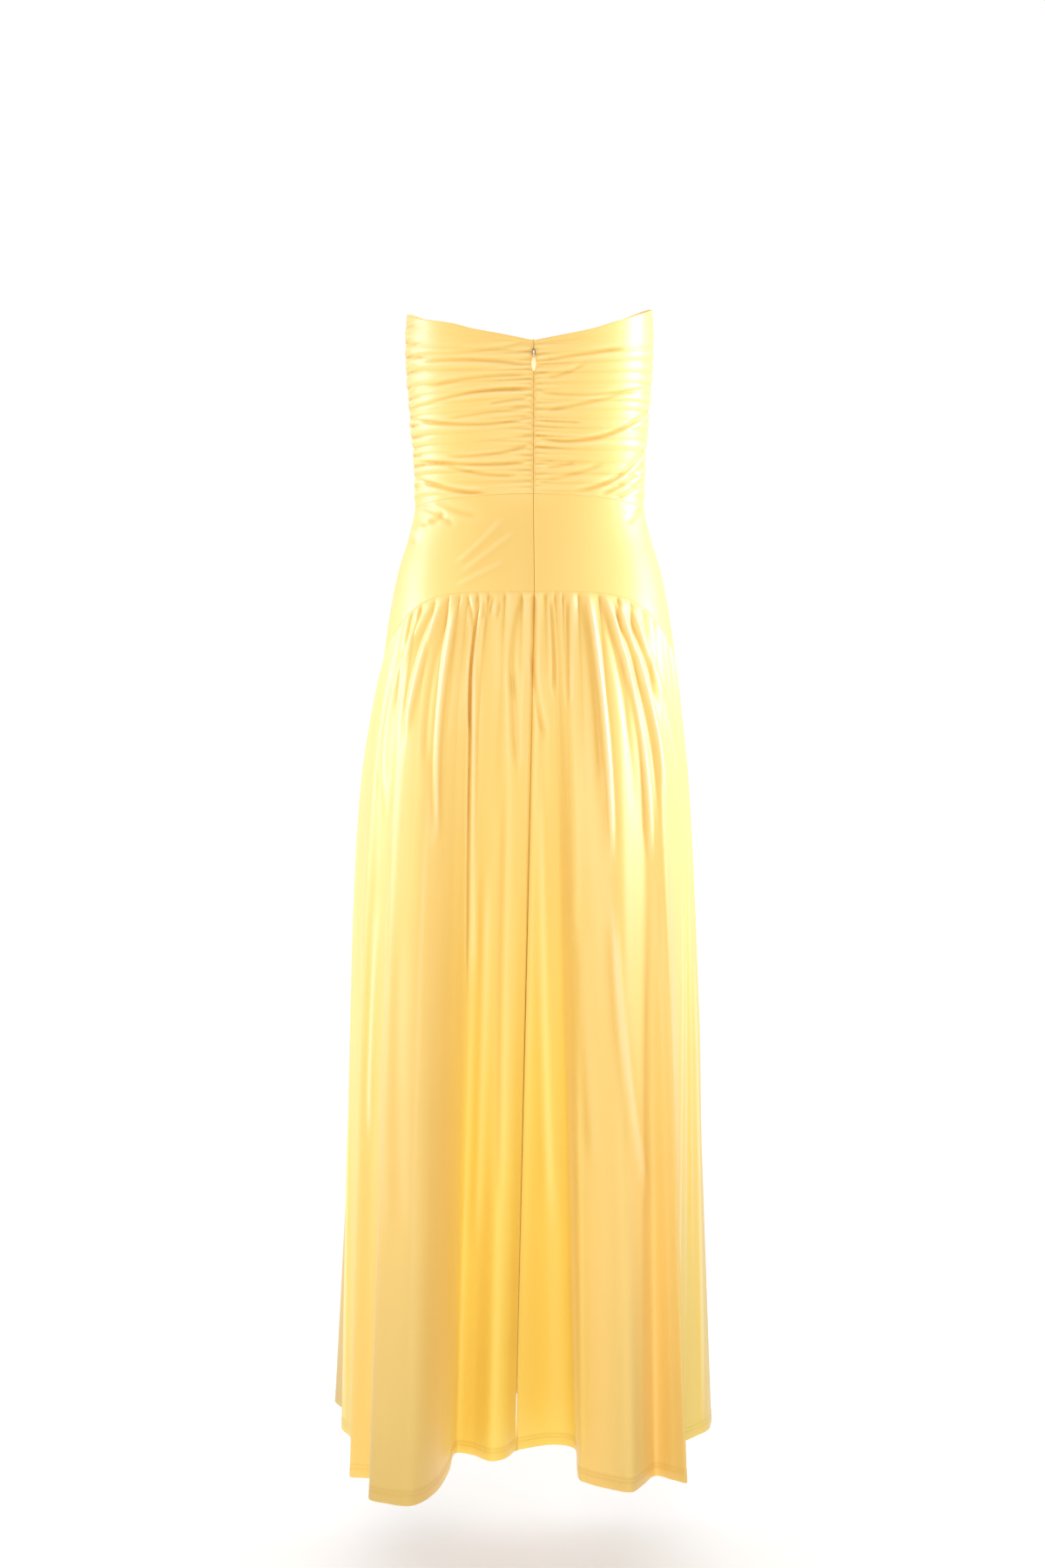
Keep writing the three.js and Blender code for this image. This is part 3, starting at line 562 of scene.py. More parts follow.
def add_object(name, data):
    item = bpy.data.objects.new(name, data)
    bpy.context.scene.collection.objects.link(item)
    return item


def make_object(name, vertices, faces, material, body="dress", uv=None, sharp=None):
    """One piece from numbers in millimetres, riding on its body."""
    mesh = bpy.data.meshes.new(name)
    mesh.from_pydata((np.asarray(vertices) * MM).tolist(), [], np.asarray(faces).tolist())
    if uv is not None:
        layer = mesh.uv_layers.new(name="Cloth")
        corners = np.empty(len(mesh.loops), dtype=np.int64)
        mesh.loops.foreach_get("vertex_index", corners)
        layer.data.foreach_set("uv", (np.asarray(uv)[corners] * MM).ravel())
    mesh.materials.append(material)
    piece = add_object(name, mesh)
    mesh.shade_smooth()
    if sharp is not None:
        mesh.set_sharp_from_angle(angle=math.radians(sharp))
    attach(piece, body)
    return piece


def add_attribute(piece, title, values):
    layer = piece.data.attributes.new(title, "FLOAT", "POINT")
    layer.data.foreach_set("value", values)


def hollows(stand, down_passes, across_passes):
    """How much lower each point of a grid lies than the cloth round it, from -1 to 1."""
    level = stand
    for axis, passes in ((0, down_passes), (1, across_passes)):
        count = stand.shape[axis]
        before = np.maximum(np.arange(count) - 1, 0)
        after = np.minimum(np.arange(count) + 1, count - 1)
        for _ in range(passes):
            level = level / 2 + (np.take(level, before, axis) + np.take(level, after, axis)) / 4
    return np.clip((level - stand) / HOLLOW_DEPTH, -1, 1)


def wall(points, thick):
    """A closed wall's vertices, faces and UVs from a grid of points on its outside."""
    rows, columns = points.shape[:2]
    inner = points - normals_of(points) * thick
    index = np.arange(rows * columns).reshape(rows, columns)
    a, b = index[:-1, :-1], index[1:, :-1]
    c, d = index[1:, 1:], index[:-1, 1:]
    faces = np.stack([a, b, c, d], axis=-1).reshape(-1, 4)
    inside = faces[:, ::-1] + rows * columns
    ring = np.concatenate([index[0, :-1], index[:-1, -1], index[-1, :0:-1], index[:0:-1, 0]])
    after = np.roll(ring, -1)
    rim = np.stack([ring, after, after + rows * columns, ring + rows * columns], axis=-1)
    across = np.broadcast_to(lengths(points, 1)[rows // 2], (rows, columns))
    downwards = np.broadcast_to(lengths(points, 0)[:, columns // 2, None], (rows, columns))
    uv = np.stack([across, downwards], axis=-1).reshape(-1, 2)
    vertices = np.vstack([points.reshape(-1, 3), inner.reshape(-1, 3)])
    return vertices, np.vstack([faces, inside, rim]), np.vstack([uv, uv])


def shell(name, points, material, crease, fold=None):
    """A panel's closed shell, which stands for its solid.

    crease and fold say where cloth lies deep, above 0, or stands out, below 0. The jersey paints
    shade, glow and highlights from them.
    """
    vertices, faces, uv = wall(points, CLOTH)
    piece = make_object(
        name + "_cloth", vertices, faces, material, uv=uv, sharp=SHARP_CLOTH
    )
    fold = np.zeros(crease.shape) if fold is None else fold
    add_attribute(piece, "crease", np.tile(crease.ravel(), 2))
    add_attribute(piece, "fold", np.tile(fold.ravel(), 2))
    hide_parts(name)
    return piece


def dense_ends(count):
    """Shares from 0 to 1, with extra steps close to both ends."""
    near = np.array(EDGE_STEPS)
    middle = np.linspace(EVEN_FROM, 1 - EVEN_FROM, count)
    return np.concatenate([[0], near, middle, 1 - near[::-1], [1]])


def body_grid(span, columns, rows, top_of, bottom_of):
    """A panel's grid between two seams: shares across, top and bottom, heights and points."""
    share = dense_ends(columns)
    turn = lerp(*span, share)[None, :]
    top, bottom = top_of(turn), bottom_of(turn)
    heights = lerp(top, bottom, dense_ends(rows)[:, None])
    return share, top, bottom, heights, body_point(np.broadcast_to(turn, heights.shape), heights)


def from_edges(points, span, gaps):
    """A panel's two upright edges: how far each point lies from it, its gap, and its turn."""
    along = lengths(points, 1)
    return ((along, gaps[0], span[0]), (along[:, -1:] - along, gaps[1], span[1]))


def side_seams(edges):
    """How far each point lies from those edges that are side seams."""
    return [distance for distance, gap, _ in edges if gap == SEAM_GAP]


def edge_roll(gap):
    """How far a bodice or yoke panel's upright edge turns in, at the zip or at a side seam."""
    return ZIP_ROLL if gap > SEAM_GAP else DEEP_ROLL


def sewn(points, out, stand, gaps, depths):
    """A panel's grid with its folds, half a gap at each upright edge, and its edges turned in.

    Turned-in edges show as fine grooves at the seams. depths are millimetres, for the panel's top,
    right, bottom and left edge.
    """
    ahead = unit(np.gradient(points, axis=1))
    points[:, 0] += ahead[:, 0] * gaps[0] / 2
    points[:, -1] -= ahead[:, -1] * gaps[1] / 2
    points = points + out * stand[..., None]
    along, down = lengths(points, 1), lengths(points, 0)
    distances = (down, along[:, -1:] - along, down[-1:] - down, along)
    rolled = np.zeros(points.shape[:2])
    for depth, distance in zip(depths, distances):
        near = np.maximum(1 - distance / ROLL_REACH, 0)
        rolled = np.maximum(rolled, depth * (1 - np.sqrt(1 - near**2)))
    return points - out * rolled[..., None]


# ---- Bodice ----


def fold_columns(table):
    return dict(zip(FOLD_COLUMNS, np.array(table, dtype=float).T))


def fold_lines(table, zip_first):
    """Heights and sizes of a back panel's folds, as functions of the share of its turn."""
    folds = fold_columns(table)

    def read(share):
        s = (share if zip_first else 1 - share)[:, None]
        height = through(folds["zip"], folds["mid"], folds["side"], s)
        rise = lerp(ZIP_EDGE_SHARE, 1, smooth(s / ZIP_EDGE_REACH))
        to_side = smooth((s - SIDE_FROM) / (1 - SIDE_FROM))
        sizes = lerp(folds["zip_out"], MID_CALM * folds["mid_out"], smooth(s / MID_FROM))
        sizes = lerp(sizes, SIDE_PUFF * folds["side_out"], to_side)
        return height, rise * sizes

    return read


def front_fold_lines(share):
    right, left = fold_columns(FOLDS_RIGHT), fold_columns(FOLDS_LEFT)
    mid = (right["side"] + left["side"]) / 2 - FRONT_SAG
    mid_out = MID_CALM * np.resize(FRONT_MID_OUT, len(FOLDS_LEFT))
    s = share[:, None]
    sizes = through(SIDE_PUFF * right["side_out"], mid_out, SIDE_PUFF * left["side_out"], s)
    return through(right["side"], mid, left["side"], s), sizes


def ruched(heights, top, bottom, lines, outs):
    """How far ruched cloth stands out on its crests and lies back in the valleys between them."""
    rows, columns = heights.shape
    result = np.zeros((rows, columns))
    for j in range(columns):
        crests = np.concatenate([[top[j]], lines[j], [bottom[j]]])
        sizes = np.concatenate([[0], outs[j], [0]])
        order = np.arange(len(crests))
        phase = np.interp(-heights[:, j], -crests, order)
        place = j / columns
        size = np.interp(phase, order, sizes)
        wave = np.abs(np.cos(np.pi * phase)) ** FOLD_SHARPNESS
        valley = np.floor(phase)
        swing = np.sin(FULL_WAVE * VALLEY_WAVES * place + VALLEY_SHIFT * valley)
        kept = (1 + np.sin(VALLEY_SWING * valley + 1) * swing) / 2
        inwards = smooth(place / VALLEY_STEADY) * smooth((1 - place) / VALLEY_STEADY)
        deep = lerp(1, lerp(VALLEY_LEAST, 1, kept), inwards)
        result[:, j] = size * (1 - (1 - wave) * (1 + TROUGH_SHARE) * deep)
    return result


def fine_gathers(heights, distance, period, out, reach, seed):
    """Small gathers beside a seam, each with its own reach. distance is from the seam."""
    wander = sum(size * np.sin(heights / wave + share * seed) for size, wave, share in WANDER)
    lean = LEAN * distance * np.sin(heights / LEAN_WAVE + seed)
    phase = (heights + wander + lean) / period
    own = reach * (OWN_REACH + REACH_SWING * np.sin(np.floor(phase) * GOLDEN_ANGLE + seed))
    fade = np.exp(-distance / np.maximum(own, LEAST_REACH))
    return out * fade * (np.abs(np.cos(np.pi * phase)) - LEVEL)


def above_waist(turn):
    return waist_seam(turn) + SEAM_GAP / 2


def below_waist(turn):
    return waist_seam(turn) - SEAM_GAP / 2


def bodice_panel(name, span, columns, rows, lines, gaps, material):
    share, top, bottom, heights, points = body_grid(span, columns, rows, top_edge, above_waist)
    out = normals_of(points)
    edges = from_edges(points, span, gaps)
    pressed = clear_of_seams(creased(name, points, BODICE_CREASES), side_seams(edges))
    stand = ruched(heights, top[0], bottom[0], *lines(share))
    stand -= pressed * smooth((heights - bottom) / SEAM_CLEAR)
    calm = smooth((top - heights) / TOP_CALM) * smooth((heights - bottom) / WAIST_CALM)
    for distance, gap, seam_turn in edges:
        gathers = SIDE_GATHERS if gap == SEAM_GAP else ZIP_GATHERS
        started = smooth((distance - GATHERS_FROM) / GATHERS_FULL)
        stand += started * calm * fine_gathers(heights, distance, *gathers, seam_turn / SEED_TURN)
    depths = (HEM_ROLL, edge_roll(gaps[1]), SOFT_ROLL, edge_roll(gaps[0]))
    points = sewn(points, out, stand, gaps, depths)
    # Painted shade in the ruching's valleys and a painted highlight on its crests.
    tone = BODICE_SHADE * hollows(stand, down_passes=18, across_passes=3)
    panel = shell(name, points, material, tone)


# ---- Yoke ----


def above_yoke_seam(turn):
    return yoke_seam(turn) + SEAM_GAP / 2


def yoke_panel(name, span, columns, rows, gaps, material):
    _, top, bottom, heights, points = body_grid(span, columns, rows, below_waist, above_yoke_seam)
    out = normals_of(points)
    seams = side_seams(from_edges(points, span, gaps))
    pressed = clear_of_seams(creased(name, points, YOKE_CREASES), seams)
    pressed *= smooth((top - heights) / SEAM_CLEAR) * smooth((heights - bottom) / SEAM_CLEAR)
    depths = (SOFT_ROLL, edge_roll(gaps[1]), SOFT_ROLL, edge_roll(gaps[0]))
    points = sewn(points, out, -pressed, gaps, depths)
    # Painted shade in the yoke's creases and a painted highlight on its ridges.
    panel = shell(name, points, material, hollows(-pressed, down_passes=10, across_passes=5))


# ---- Skirt ----


def spacing():
    """Places round the skirt that mix the seam's turn with the length of cloth at the hem."""
    seam, x, y = HEM_PLAN.rows.T
    cloth = np.concatenate([[0], np.cumsum(np.hypot(np.diff(x), np.diff(y)))])
    return seam, lerp(cloth * FULL_TURN / cloth[-1], seam, SEAM_BALANCE)


def oval_at_hem(turn):
    return oval(turn, **HEM_OVAL)


def skirt_point(turn, down):
    seam_height = yoke_seam(turn) - SEAM_GAP / 2
    top = body_point(turn, seam_height)
    oval_x, oval_y = oval_at_hem(turn)
    hem_x, hem_y = HEM_PLAN("x", turn), HEM_PLAN("y", turn)
    spread = HIP_SPREAD * (1 - np.exp(-down / HIP_REACH)) + (1 - HIP_SPREAD) * down
    flute = down**FLUTE_GROWTH
    hem_height = HEM_HEIGHT + HEM_TILT * sin_of(turn)
    return vectors(
        lerp(top[..., 0], oval_x, spread) + (hem_x - oval_x) * flute,
        lerp(top[..., 1], oval_y, spread) + (hem_y - oval_y) * flute,
        lerp(seam_height, hem_height, down),
    )


def flute_depth(turn):
    """How far the hem stands out from its plain oval, in millimetres."""
    oval_x, oval_y = oval_at_hem(turn)
    sine, cosine = sin_of(turn), cos_of(turn)
    return (HEM_PLAN("x", turn) - oval_x) * sine - (HEM_PLAN("y", turn) - oval_y) * cosine


def height_over_hem(points):
    """How far each point of a skirt panel lies from its hem, along the cloth."""
    down_by = lengths(points, 0)
    return down_by[-1:] - down_by


def bar_faces(rings):
    """The faces of a closed bar with four sides, whose corners are listed ring by ring."""
    faces = [
        (first + k, first + (k + 1) % 4, first + 4 + (k + 1) % 4, first + 4 + k)
        for first in range(0, 4 * (rings - 1), 4)
        for k in range(4)
    ]
    last = 4 * (rings - 1)
    return np.array(faces + [(3, 2, 1, 0), (last, last + 1, last + 2, last + 3)])


def stitches(name, points, material):
    """Two rows of stitches along a skirt panel's hem, as one mesh."""
    out, from_hem = normals_of(points), height_over_hem(points)
    columns = np.arange(points.shape[1])
    vertices, faces = [], []
    for height in STITCH_ROWS:
        i = np.argmax(from_hem <= height, axis=0)
        above, below = from_hem[i - 1, columns], from_hem[i, columns]
        part = ((above - height) / (above - below))[:, None]
        line = lerp(points[i - 1, columns], points[i, columns], part)
        along = lengths(line, 0)
        starts = np.arange(STITCH_PITCH, along[-1] - STITCH_PITCH, STITCH_PITCH)
        rings = []
        for share, size in STITCH_RINGS:
            at = starts + share * STITCH_LONG
            place = np.stack([np.interp(at, along, v) for v in line.T], axis=-1)
            lean = np.stack([np.interp(at, along, v) for v in out[i, columns].T], axis=-1)
            half = size * STITCH_THICK / 2
            lift = (0, 0, half)
            rings.append([place + lean * half, place + lift, place - lean * half, place - lift])
        corners = np.array(rings).transpose(2, 0, 1, 3)
        stitch_size = 4 * len(STITCH_RINGS)
        first = sum(len(v) for v in vertices) + stitch_size * np.arange(len(corners))
        faces += [first[:, None] + face for face in bar_faces(len(STITCH_RINGS))]
        vertices.append(corners.reshape(-1, 3))
    vertices, faces = np.vstack(vertices), np.vstack(faces)
    return make_object(name + "_stitches", vertices, faces, material)


def uneven(swing, step, number, start):
    """How far one of a row of gathers differs from their middle."""
    return swing * np.sin(step * number + start)


def gathers_at_yoke(turns, downs, phase, turn_from):
    """How far the skirt's gathers stand out. phase grows by 1 from each valley to the next crest."""
    side = sin_of(turns) ** 2
    crest = np.floor(phase / 2)
    size = lerp(GATHER_OUT_BACK, GATHER_OUT_SIDE, side)
    size = size * (1 + uneven(*GATHER_SIZES, crest, turn_from))
    fade = GATHER_SHORT * (1 + uneven(*GATHER_LENGTHS, crest, 1))
    dip = GATHER_IN * np.exp(-downs / GATHER_FADE)
    profile = np.abs(np.sin(np.pi * phase / 2)) ** GATHER_SHARPNESS
    return smooth(downs / GATHER_RISE) * (profile * (size * np.exp(-downs / fade) + dip) - dip)


def skirt_panel(name, span, gathers, samples, gaps, material, thread):
    seam_turns, places = spacing()
    start, end = np.interp(span, seam_turns, places)
    steps = 2 * gathers
    k = np.arange(steps + 1)
    stray = uneven(*GATHER_PLACES, k, span[0])
    stray[[0, -1]] = 0
    count = dense_ends(steps * samples // 2) * steps
    turn = np.interp(lerp(start, end, count / steps), places, seam_turns)[None, :]
    phase = np.interp(count, k + stray, k)[None, :]
    down = np.concatenate([np.linspace(*stretch) for stretch in SKIRT_ROWS] + [HEM_ROWS])[:, None]
    turns, downs = np.broadcast_arrays(turn, down)
    points = skirt_point(turns, downs)
    out = normals_of(points)
    side = sin_of(turns) ** 2
    edges = from_edges(points, span, gaps)
    lowest = GATHERS_END if name == "skirt_front" else PHOTO_SIZE[1]
    pressed = creased(name, points, [row for row in SKIRT_CREASES if row[1] < lowest])
    pressed = clear_of_seams(pressed, side_seams(edges)) * (1 - SIDE_SHALLOW * side**2)
    pressed += hidden_folds(turns, downs)
    for distance, gap, _ in edges:
        if gap > SEAM_GAP:
            deep = BACK_SEAM_DEEP * (1 - BACK_SEAM_FADE * downs)
            pressed += deep * np.exp(-((distance / BACK_SEAM_WIDE) ** 2))
    stand = gathers_at_yoke(turns, downs, phase, span[0]) - pressed * smooth(downs / SKIRT_RISE)
    # Painted shade in the skirt's hollows and a painted highlight on its crests.
    crease = hollows(stand, down_passes=0, across_passes=40)
    from_hem = height_over_hem(points)
    hem = smooth((HEM_FOLD - from_hem) / HEM_FOLD_SOFT + 0.5)
    stand += HEM_FOLD_OUT * hem
    # painted shade on the turned-up hem
    crease += HEM_SHADE * hem
    for height in STITCH_ROWS:
        groove = np.exp(-(((from_hem - height) / STITCH_GROOVE_WIDE) ** 2))
        stand -= STITCH_GROOVE * groove
        # painted shade in the stitches' grooves
        crease += STITCH_SHADE * groove
    slit = HEM_SLIT * down**SLIT_POWER
    gaps = [SEAM_GAP + slit * (gap > SEAM_GAP) for gap in gaps]
    points = sewn(points, out, stand, gaps, (SOFT_ROLL, DEEP_ROLL, HEM_ROLL, DEEP_ROLL))
    # Painted colour: a golden glow in recesses and at the hem's sides, duller shade on ridges and low
    # at the back and front, and creases near the side seams glowing golden instead of shaded brown.
    golden = SIDE_CREASE_GLOW * side**2
    fold = SIDE_GLOW * downs * side**4 - flute_depth(turns) * downs**2 / FOLD_DEPTH
    fold += golden * np.maximum(crease, 0) - LOW_SHADE * downs**3 * (1 - side)
    crease *= 1 - golden * np.sign(crease)
    stitched = stitches(name, points, thread)
    panel = shell(name, points, material, crease, fold)


# ---- Zip ----


def zip_line(heights):
    """Points on the back seam, with the directions out of the dress and along its turn."""
    turns = np.array([ZIP_TURN - ZIP_STEP, ZIP_TURN, ZIP_TURN + ZIP_STEP])
    points = body_point(*np.meshgrid(turns, heights))
    ahead = unit(np.gradient(points, axis=1))
    return points[:, 1], normals_of(points)[:, 1], ahead[:, 1]


def add_zip_tape(material):
    """The two woven tapes, which meet in the middle."""
    heights = np.linspace(TAPE_TOP, TAPE_BOTTOM, TAPE_STEPS)
    middle, out, ahead = zip_line(heights)
    edges = np.array(TAPE_EDGES, dtype=float)
    dip = TAPE_DIP * np.exp(-((edges / TAPE_DIP_HALF) ** 2))
    points = middle[:, None] - out[:, None] * (TAPE_INSET + dip)[None, :, None]
    points = points + ahead[:, None] * edges[None, :, None]
    vertices, faces, uv = wall(points, TAPE_THICK)
    tape = make_object(
        "zip_tapes_woven", vertices, faces, material, uv=uv, sharp=SHARP_TAPE
    )
    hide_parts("zip_tape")


def ring_faces(count, sides, closed=False):
    """The faces between rings of points. closed joins the last ring to the first."""
    i = np.arange(count if closed else count - 1)[:, None]
    j = (i + 1) % count
    k = np.arange(sides)[None, :]
    m = (k + 1) % sides
    faces = np.stack([i * sides + k, j * sides + k, j * sides + m, i * sides + m], axis=-1)
    return faces.reshape(-1, 4)


def tube(path, radius, sides):
    """An open tube's vertices and faces along a path."""
    ahead = unit(np.gradient(path, axis=0))
    side = unit(np.cross(ahead, (0, 0, 1)))
    up = np.cross(side, ahead)
    turn = FULL_WAVE * np.arange(sides) / sides
    ring = side[:, None] * np.cos(turn)[None, :, None] + up[:, None] * np.sin(turn)[None, :, None]
    vertices = (path[:, None] + radius * ring).reshape(-1, 3)
    return vertices, ring_faces(len(path), sides)[:, (0, 3, 2, 1)]


def add_coil(material):
    """The closed zip's coil, on the tapes' inner side."""
    turns = (COIL["top"] - COIL["bottom"]) / COIL["pitch"]
    angle = FULL_WAVE * np.linspace(0, turns, int(turns * COIL_STEPS))
    heights = np.linspace(COIL["top"], COIL["bottom"], len(angle))
    middle, out, ahead = zip_line(heights)
    shift = ahead * (COIL["wide"] * np.cos(angle))[:, None]
    depth = COIL["inset"] - COIL["deep"] * np.sin(angle)
    vertices, faces = tube(middle + shift - out * depth[:, None], COIL["wire"], COIL_SIDES)
    make_object("zip_coil", vertices, faces, material)


def ring_mesh(inner, outer, half):
    """A closed ring between two loops of x and z, rounded from inner to outer edge.

    half is half its thickness, along y.
    """
    angle = FULL_WAVE * np.arange(RING_SIDES) / RING_SIDES
    share = (0.5 - 0.5 * np.cos(angle))[None, :, None]
    flat = lerp(inner[:, None], outer[:, None], share)
    y = half * np.sign(np.sin(angle)) * np.abs(np.sin(angle)) ** RING_SHARPNESS
    vertices = vectors(flat[..., 0], y, flat[..., 1])
    return vertices.reshape(-1, 3), ring_faces(len(inner), RING_SIDES, closed=True)


def loop(half_wide, top, bottom, count=48):
    """An upright oval loop of x and z."""
    turn = FULL_WAVE * np.arange(count) / count
    return np.stack([half_wide * np.sin(turn), lerp(top, bottom, (1 - np.cos(turn)) / 2)], axis=-1)


# The slider's face from its middle out: the share of its radius, how far it stands, and how
# much painted shade darkens it, in its groove and round its back.
SLIDER_FACE = (
    (0.001, 1.5, 0),
    (0.3, 1.5, 0),
    (0.46, 1.4, 0.3),
    (0.54, 1.15, 1),
    (0.7, 1.15, 1),
    (0.76, 1.85, 0.8),
    (0.84, 2.0, 0.4),
    (0.93, 1.85, 0.8),
    (1, 1.4, 1),
    (1, 0.5, 1),
    (0.92, 0.05, 1),
    (0.001, 0, 1),
)


def zip_places():
    """The zip's x, the pull's axis and the slider's back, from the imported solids."""
    low, high = (np.array(corner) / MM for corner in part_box("zip_pull"))
    axis_y = (low[1] + high[1]) / 2
    return (low[0] + high[0]) / 2, axis_y, axis_y + SLIDER["from_axis"] + SLIDER["thick"]


def add_slider(material):
    x, axis_y, back = zip_places()
    outline = loop(SLIDER["half"], SLIDER["half_tall"], -SLIDER["half_tall"])
    vertices, groove = [], []
    for share, stand, dark in SLIDER_FACE:
        ring = outline * share
        vertices.append(vectors(x + ring[:, 0], back - stand, SLIDER["height"] + ring[:, 1]))
        groove.append(np.full(len(ring), float(dark)))
    turn = FULL_WAVE * np.arange(BRIDGE_STEPS) / BRIDGE_STEPS
    circle = np.stack([np.sin(turn), np.cos(turn)], axis=-1)
    inner, outer = circle * BRIDGE["inner"], circle * BRIDGE["outer"]
    ring, bridge_faces = ring_mesh(inner, outer, BRIDGE["half"])
    bridge = vectors(x + ring[:, 1], axis_y + ring[:, 0], BRIDGE["height"] + ring[:, 2])
    neck_from = back - SLIDER_NECK["start"]
    neck_to = back + TAPE_INSET + SLIDER["from_axis"] - SLIDER_NECK["end"]
    neck = [
        (x + sx * SLIDER_NECK["half"], y, SLIDER["height"] + sz * SLIDER_NECK["half_tall"])
        for y in (neck_from, neck_to)
        for sx, sz in ((-1, -1), (1, -1), (1, 1), (-1, 1))
    ]
    faces = ring_faces(len(SLIDER_FACE), len(outline))
    bridge_start = len(SLIDER_FACE) * len(outline)
    neck_start = bridge_start + len(bridge)
    faces = np.vstack([faces, bridge_faces + bridge_start, bar_faces(2) + neck_start])
    vertices = np.vstack(vertices + [bridge, neck])
    piece = make_object(
        "zip_slider_metal", vertices, faces, material, sharp=SHARP_METAL
    )
    # painted shade: some on the bridge, full on the neck
    groove += [np.full(len(bridge), BRIDGE_SHADE), np.ones(len(neck))]
    add_attribute(piece, "groove", np.concatenate(groove))
    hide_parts("zip_slider")


def add_pull(material):
    """The teardrop pull, whose loop turns on the slider's bridge."""
    x, axis_y, _ = zip_places()
    inner = loop(PULL["slot_half"], -PULL["top"], -PULL["slot_end"])
    outer = loop(PULL["half"], PULL["top"], PULL["top"] - PULL["length"])
    down = PULL["top"] - outer[:, 1]
    narrowed = lerp(PULL_EYE["share"], 1, smooth(down / (PULL_EYE["taper"] * PULL["length"])))
    wide = np.abs(outer[:, 0]) * narrowed
    eye_tall = 2 * (PULL["slot_end"] + PULL["top"])
    eye = PULL_EYE["half"] * np.abs(np.sin(np.pi * down / eye_tall))
    near_top = outer[:, 1] > -PULL["slot_end"] - PULL_EYE["over"]
    outer[:, 0] = np.sign(outer[:, 0]) * np.where(near_top, np.maximum(wide, eye), wide)
    vertices, faces = ring_mesh(inner, outer, PULL["thick"] / 2)
    vertices = vertices + (x, axis_y, BRIDGE["height"])
    piece = make_object("zip_pull_metal", vertices, faces, material, body="zip_pull")
    add_attribute(piece, "groove", np.zeros(len(vertices)))
    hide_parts("zip_pull")


# ---- Materials ----


def set_inputs(node, values):
    for socket, value in values.items():
        node.inputs[socket].default_value = value


def new_node(nodes, kind, values=None, **settings):
    """A shader node, with values for its inputs, and its own settings."""
    node = nodes.new(kind)
    set_inputs(node, values or {})
    for setting, value in settings.items():
        setattr(node, setting, value)
    return node


def join(start, output, end, socket):
    start.id_data.links.new(start.outputs[output], end.inputs[socket])


def place_by(nodes, output, node):
    """Lays a texture out by the object's own coordinates, its UVs, or the sky's directions."""
    join(new_node(nodes, "ShaderNodeTexCoord"), output, node, "Vector")


def new_material(name):
    material = bpy.data.materials.new(name)
    material.use_nodes = True
    nodes = material.node_tree.nodes
    return material, nodes, nodes["Principled BSDF"]


CLOTH_COLOUR = (0.95, 0.72, 0.35, 1)
# Painted golden glow in deep folds and at the hem's sides, and duller painted shade on the flutes'
# ridges low down.
DEEP_GLOW_COLOUR = (1.0, 0.83, 0.28, 1)
RIDGE_SHADE_COLOUR = (0.75, 0.585, 0.29, 1)
# Crests paler than the level cloth, a painted highlight; creases darker, painted shade.
CREST_HIGHLIGHT_TINT = (1, 1, 1, 1)
LEVEL_TINT = (0.94, 0.83, 0.49, 1)
CREASE_SHADE_TINT = (0.79, 0.60, 0.24, 1)
THREAD_COLOUR = (0.80, 0.54, 0.14, 1)
# Near black, a painted shadow of the gap over the zip, on the tapes and the coil.
TAPE_SHADOW_COLOUR = (0.12, 0.06, 0.015, 1)
TAPE_SHADE = 0.8  # how much of that is left between the weave's threads
METAL_COLOUR = (0.98, 0.78, 0.42, 1)
# Painted shade in the slider's grooves, on its back and its neck.
METAL_GROOVE_SHADE = (0.20, 0.10, 0.02, 1)


def attribute_ramp(nodes, title, low, middle, high):
    """A colour that follows a point attribute from -1, low, through 0 to 1, high."""
    value = new_node(nodes, "ShaderNodeAttribute", attribute_name=title)
    share = new_node(nodes, "ShaderNodeMapRange", {"From Min": -1})
    ramp = new_node(nodes, "ShaderNodeValToRGB")
    ramp.color_ramp.elements[0].color = low
    ramp.color_ramp.elements[1].color = high
    ramp.color_ramp.elements.new(0.5).color = middle
    join(value, "Fac", share, "Value")
    join(share, "Result", ramp, "Fac")
    return ramp


def add_bump(nodes, skin, pattern, strength, distance):
    bump = new_node(nodes, "ShaderNodeBump", {"Strength": strength, "Distance": distance})
    join(pattern, "Fac", bump, "Height")
    join(bump, "Normal", skin, "Normal")


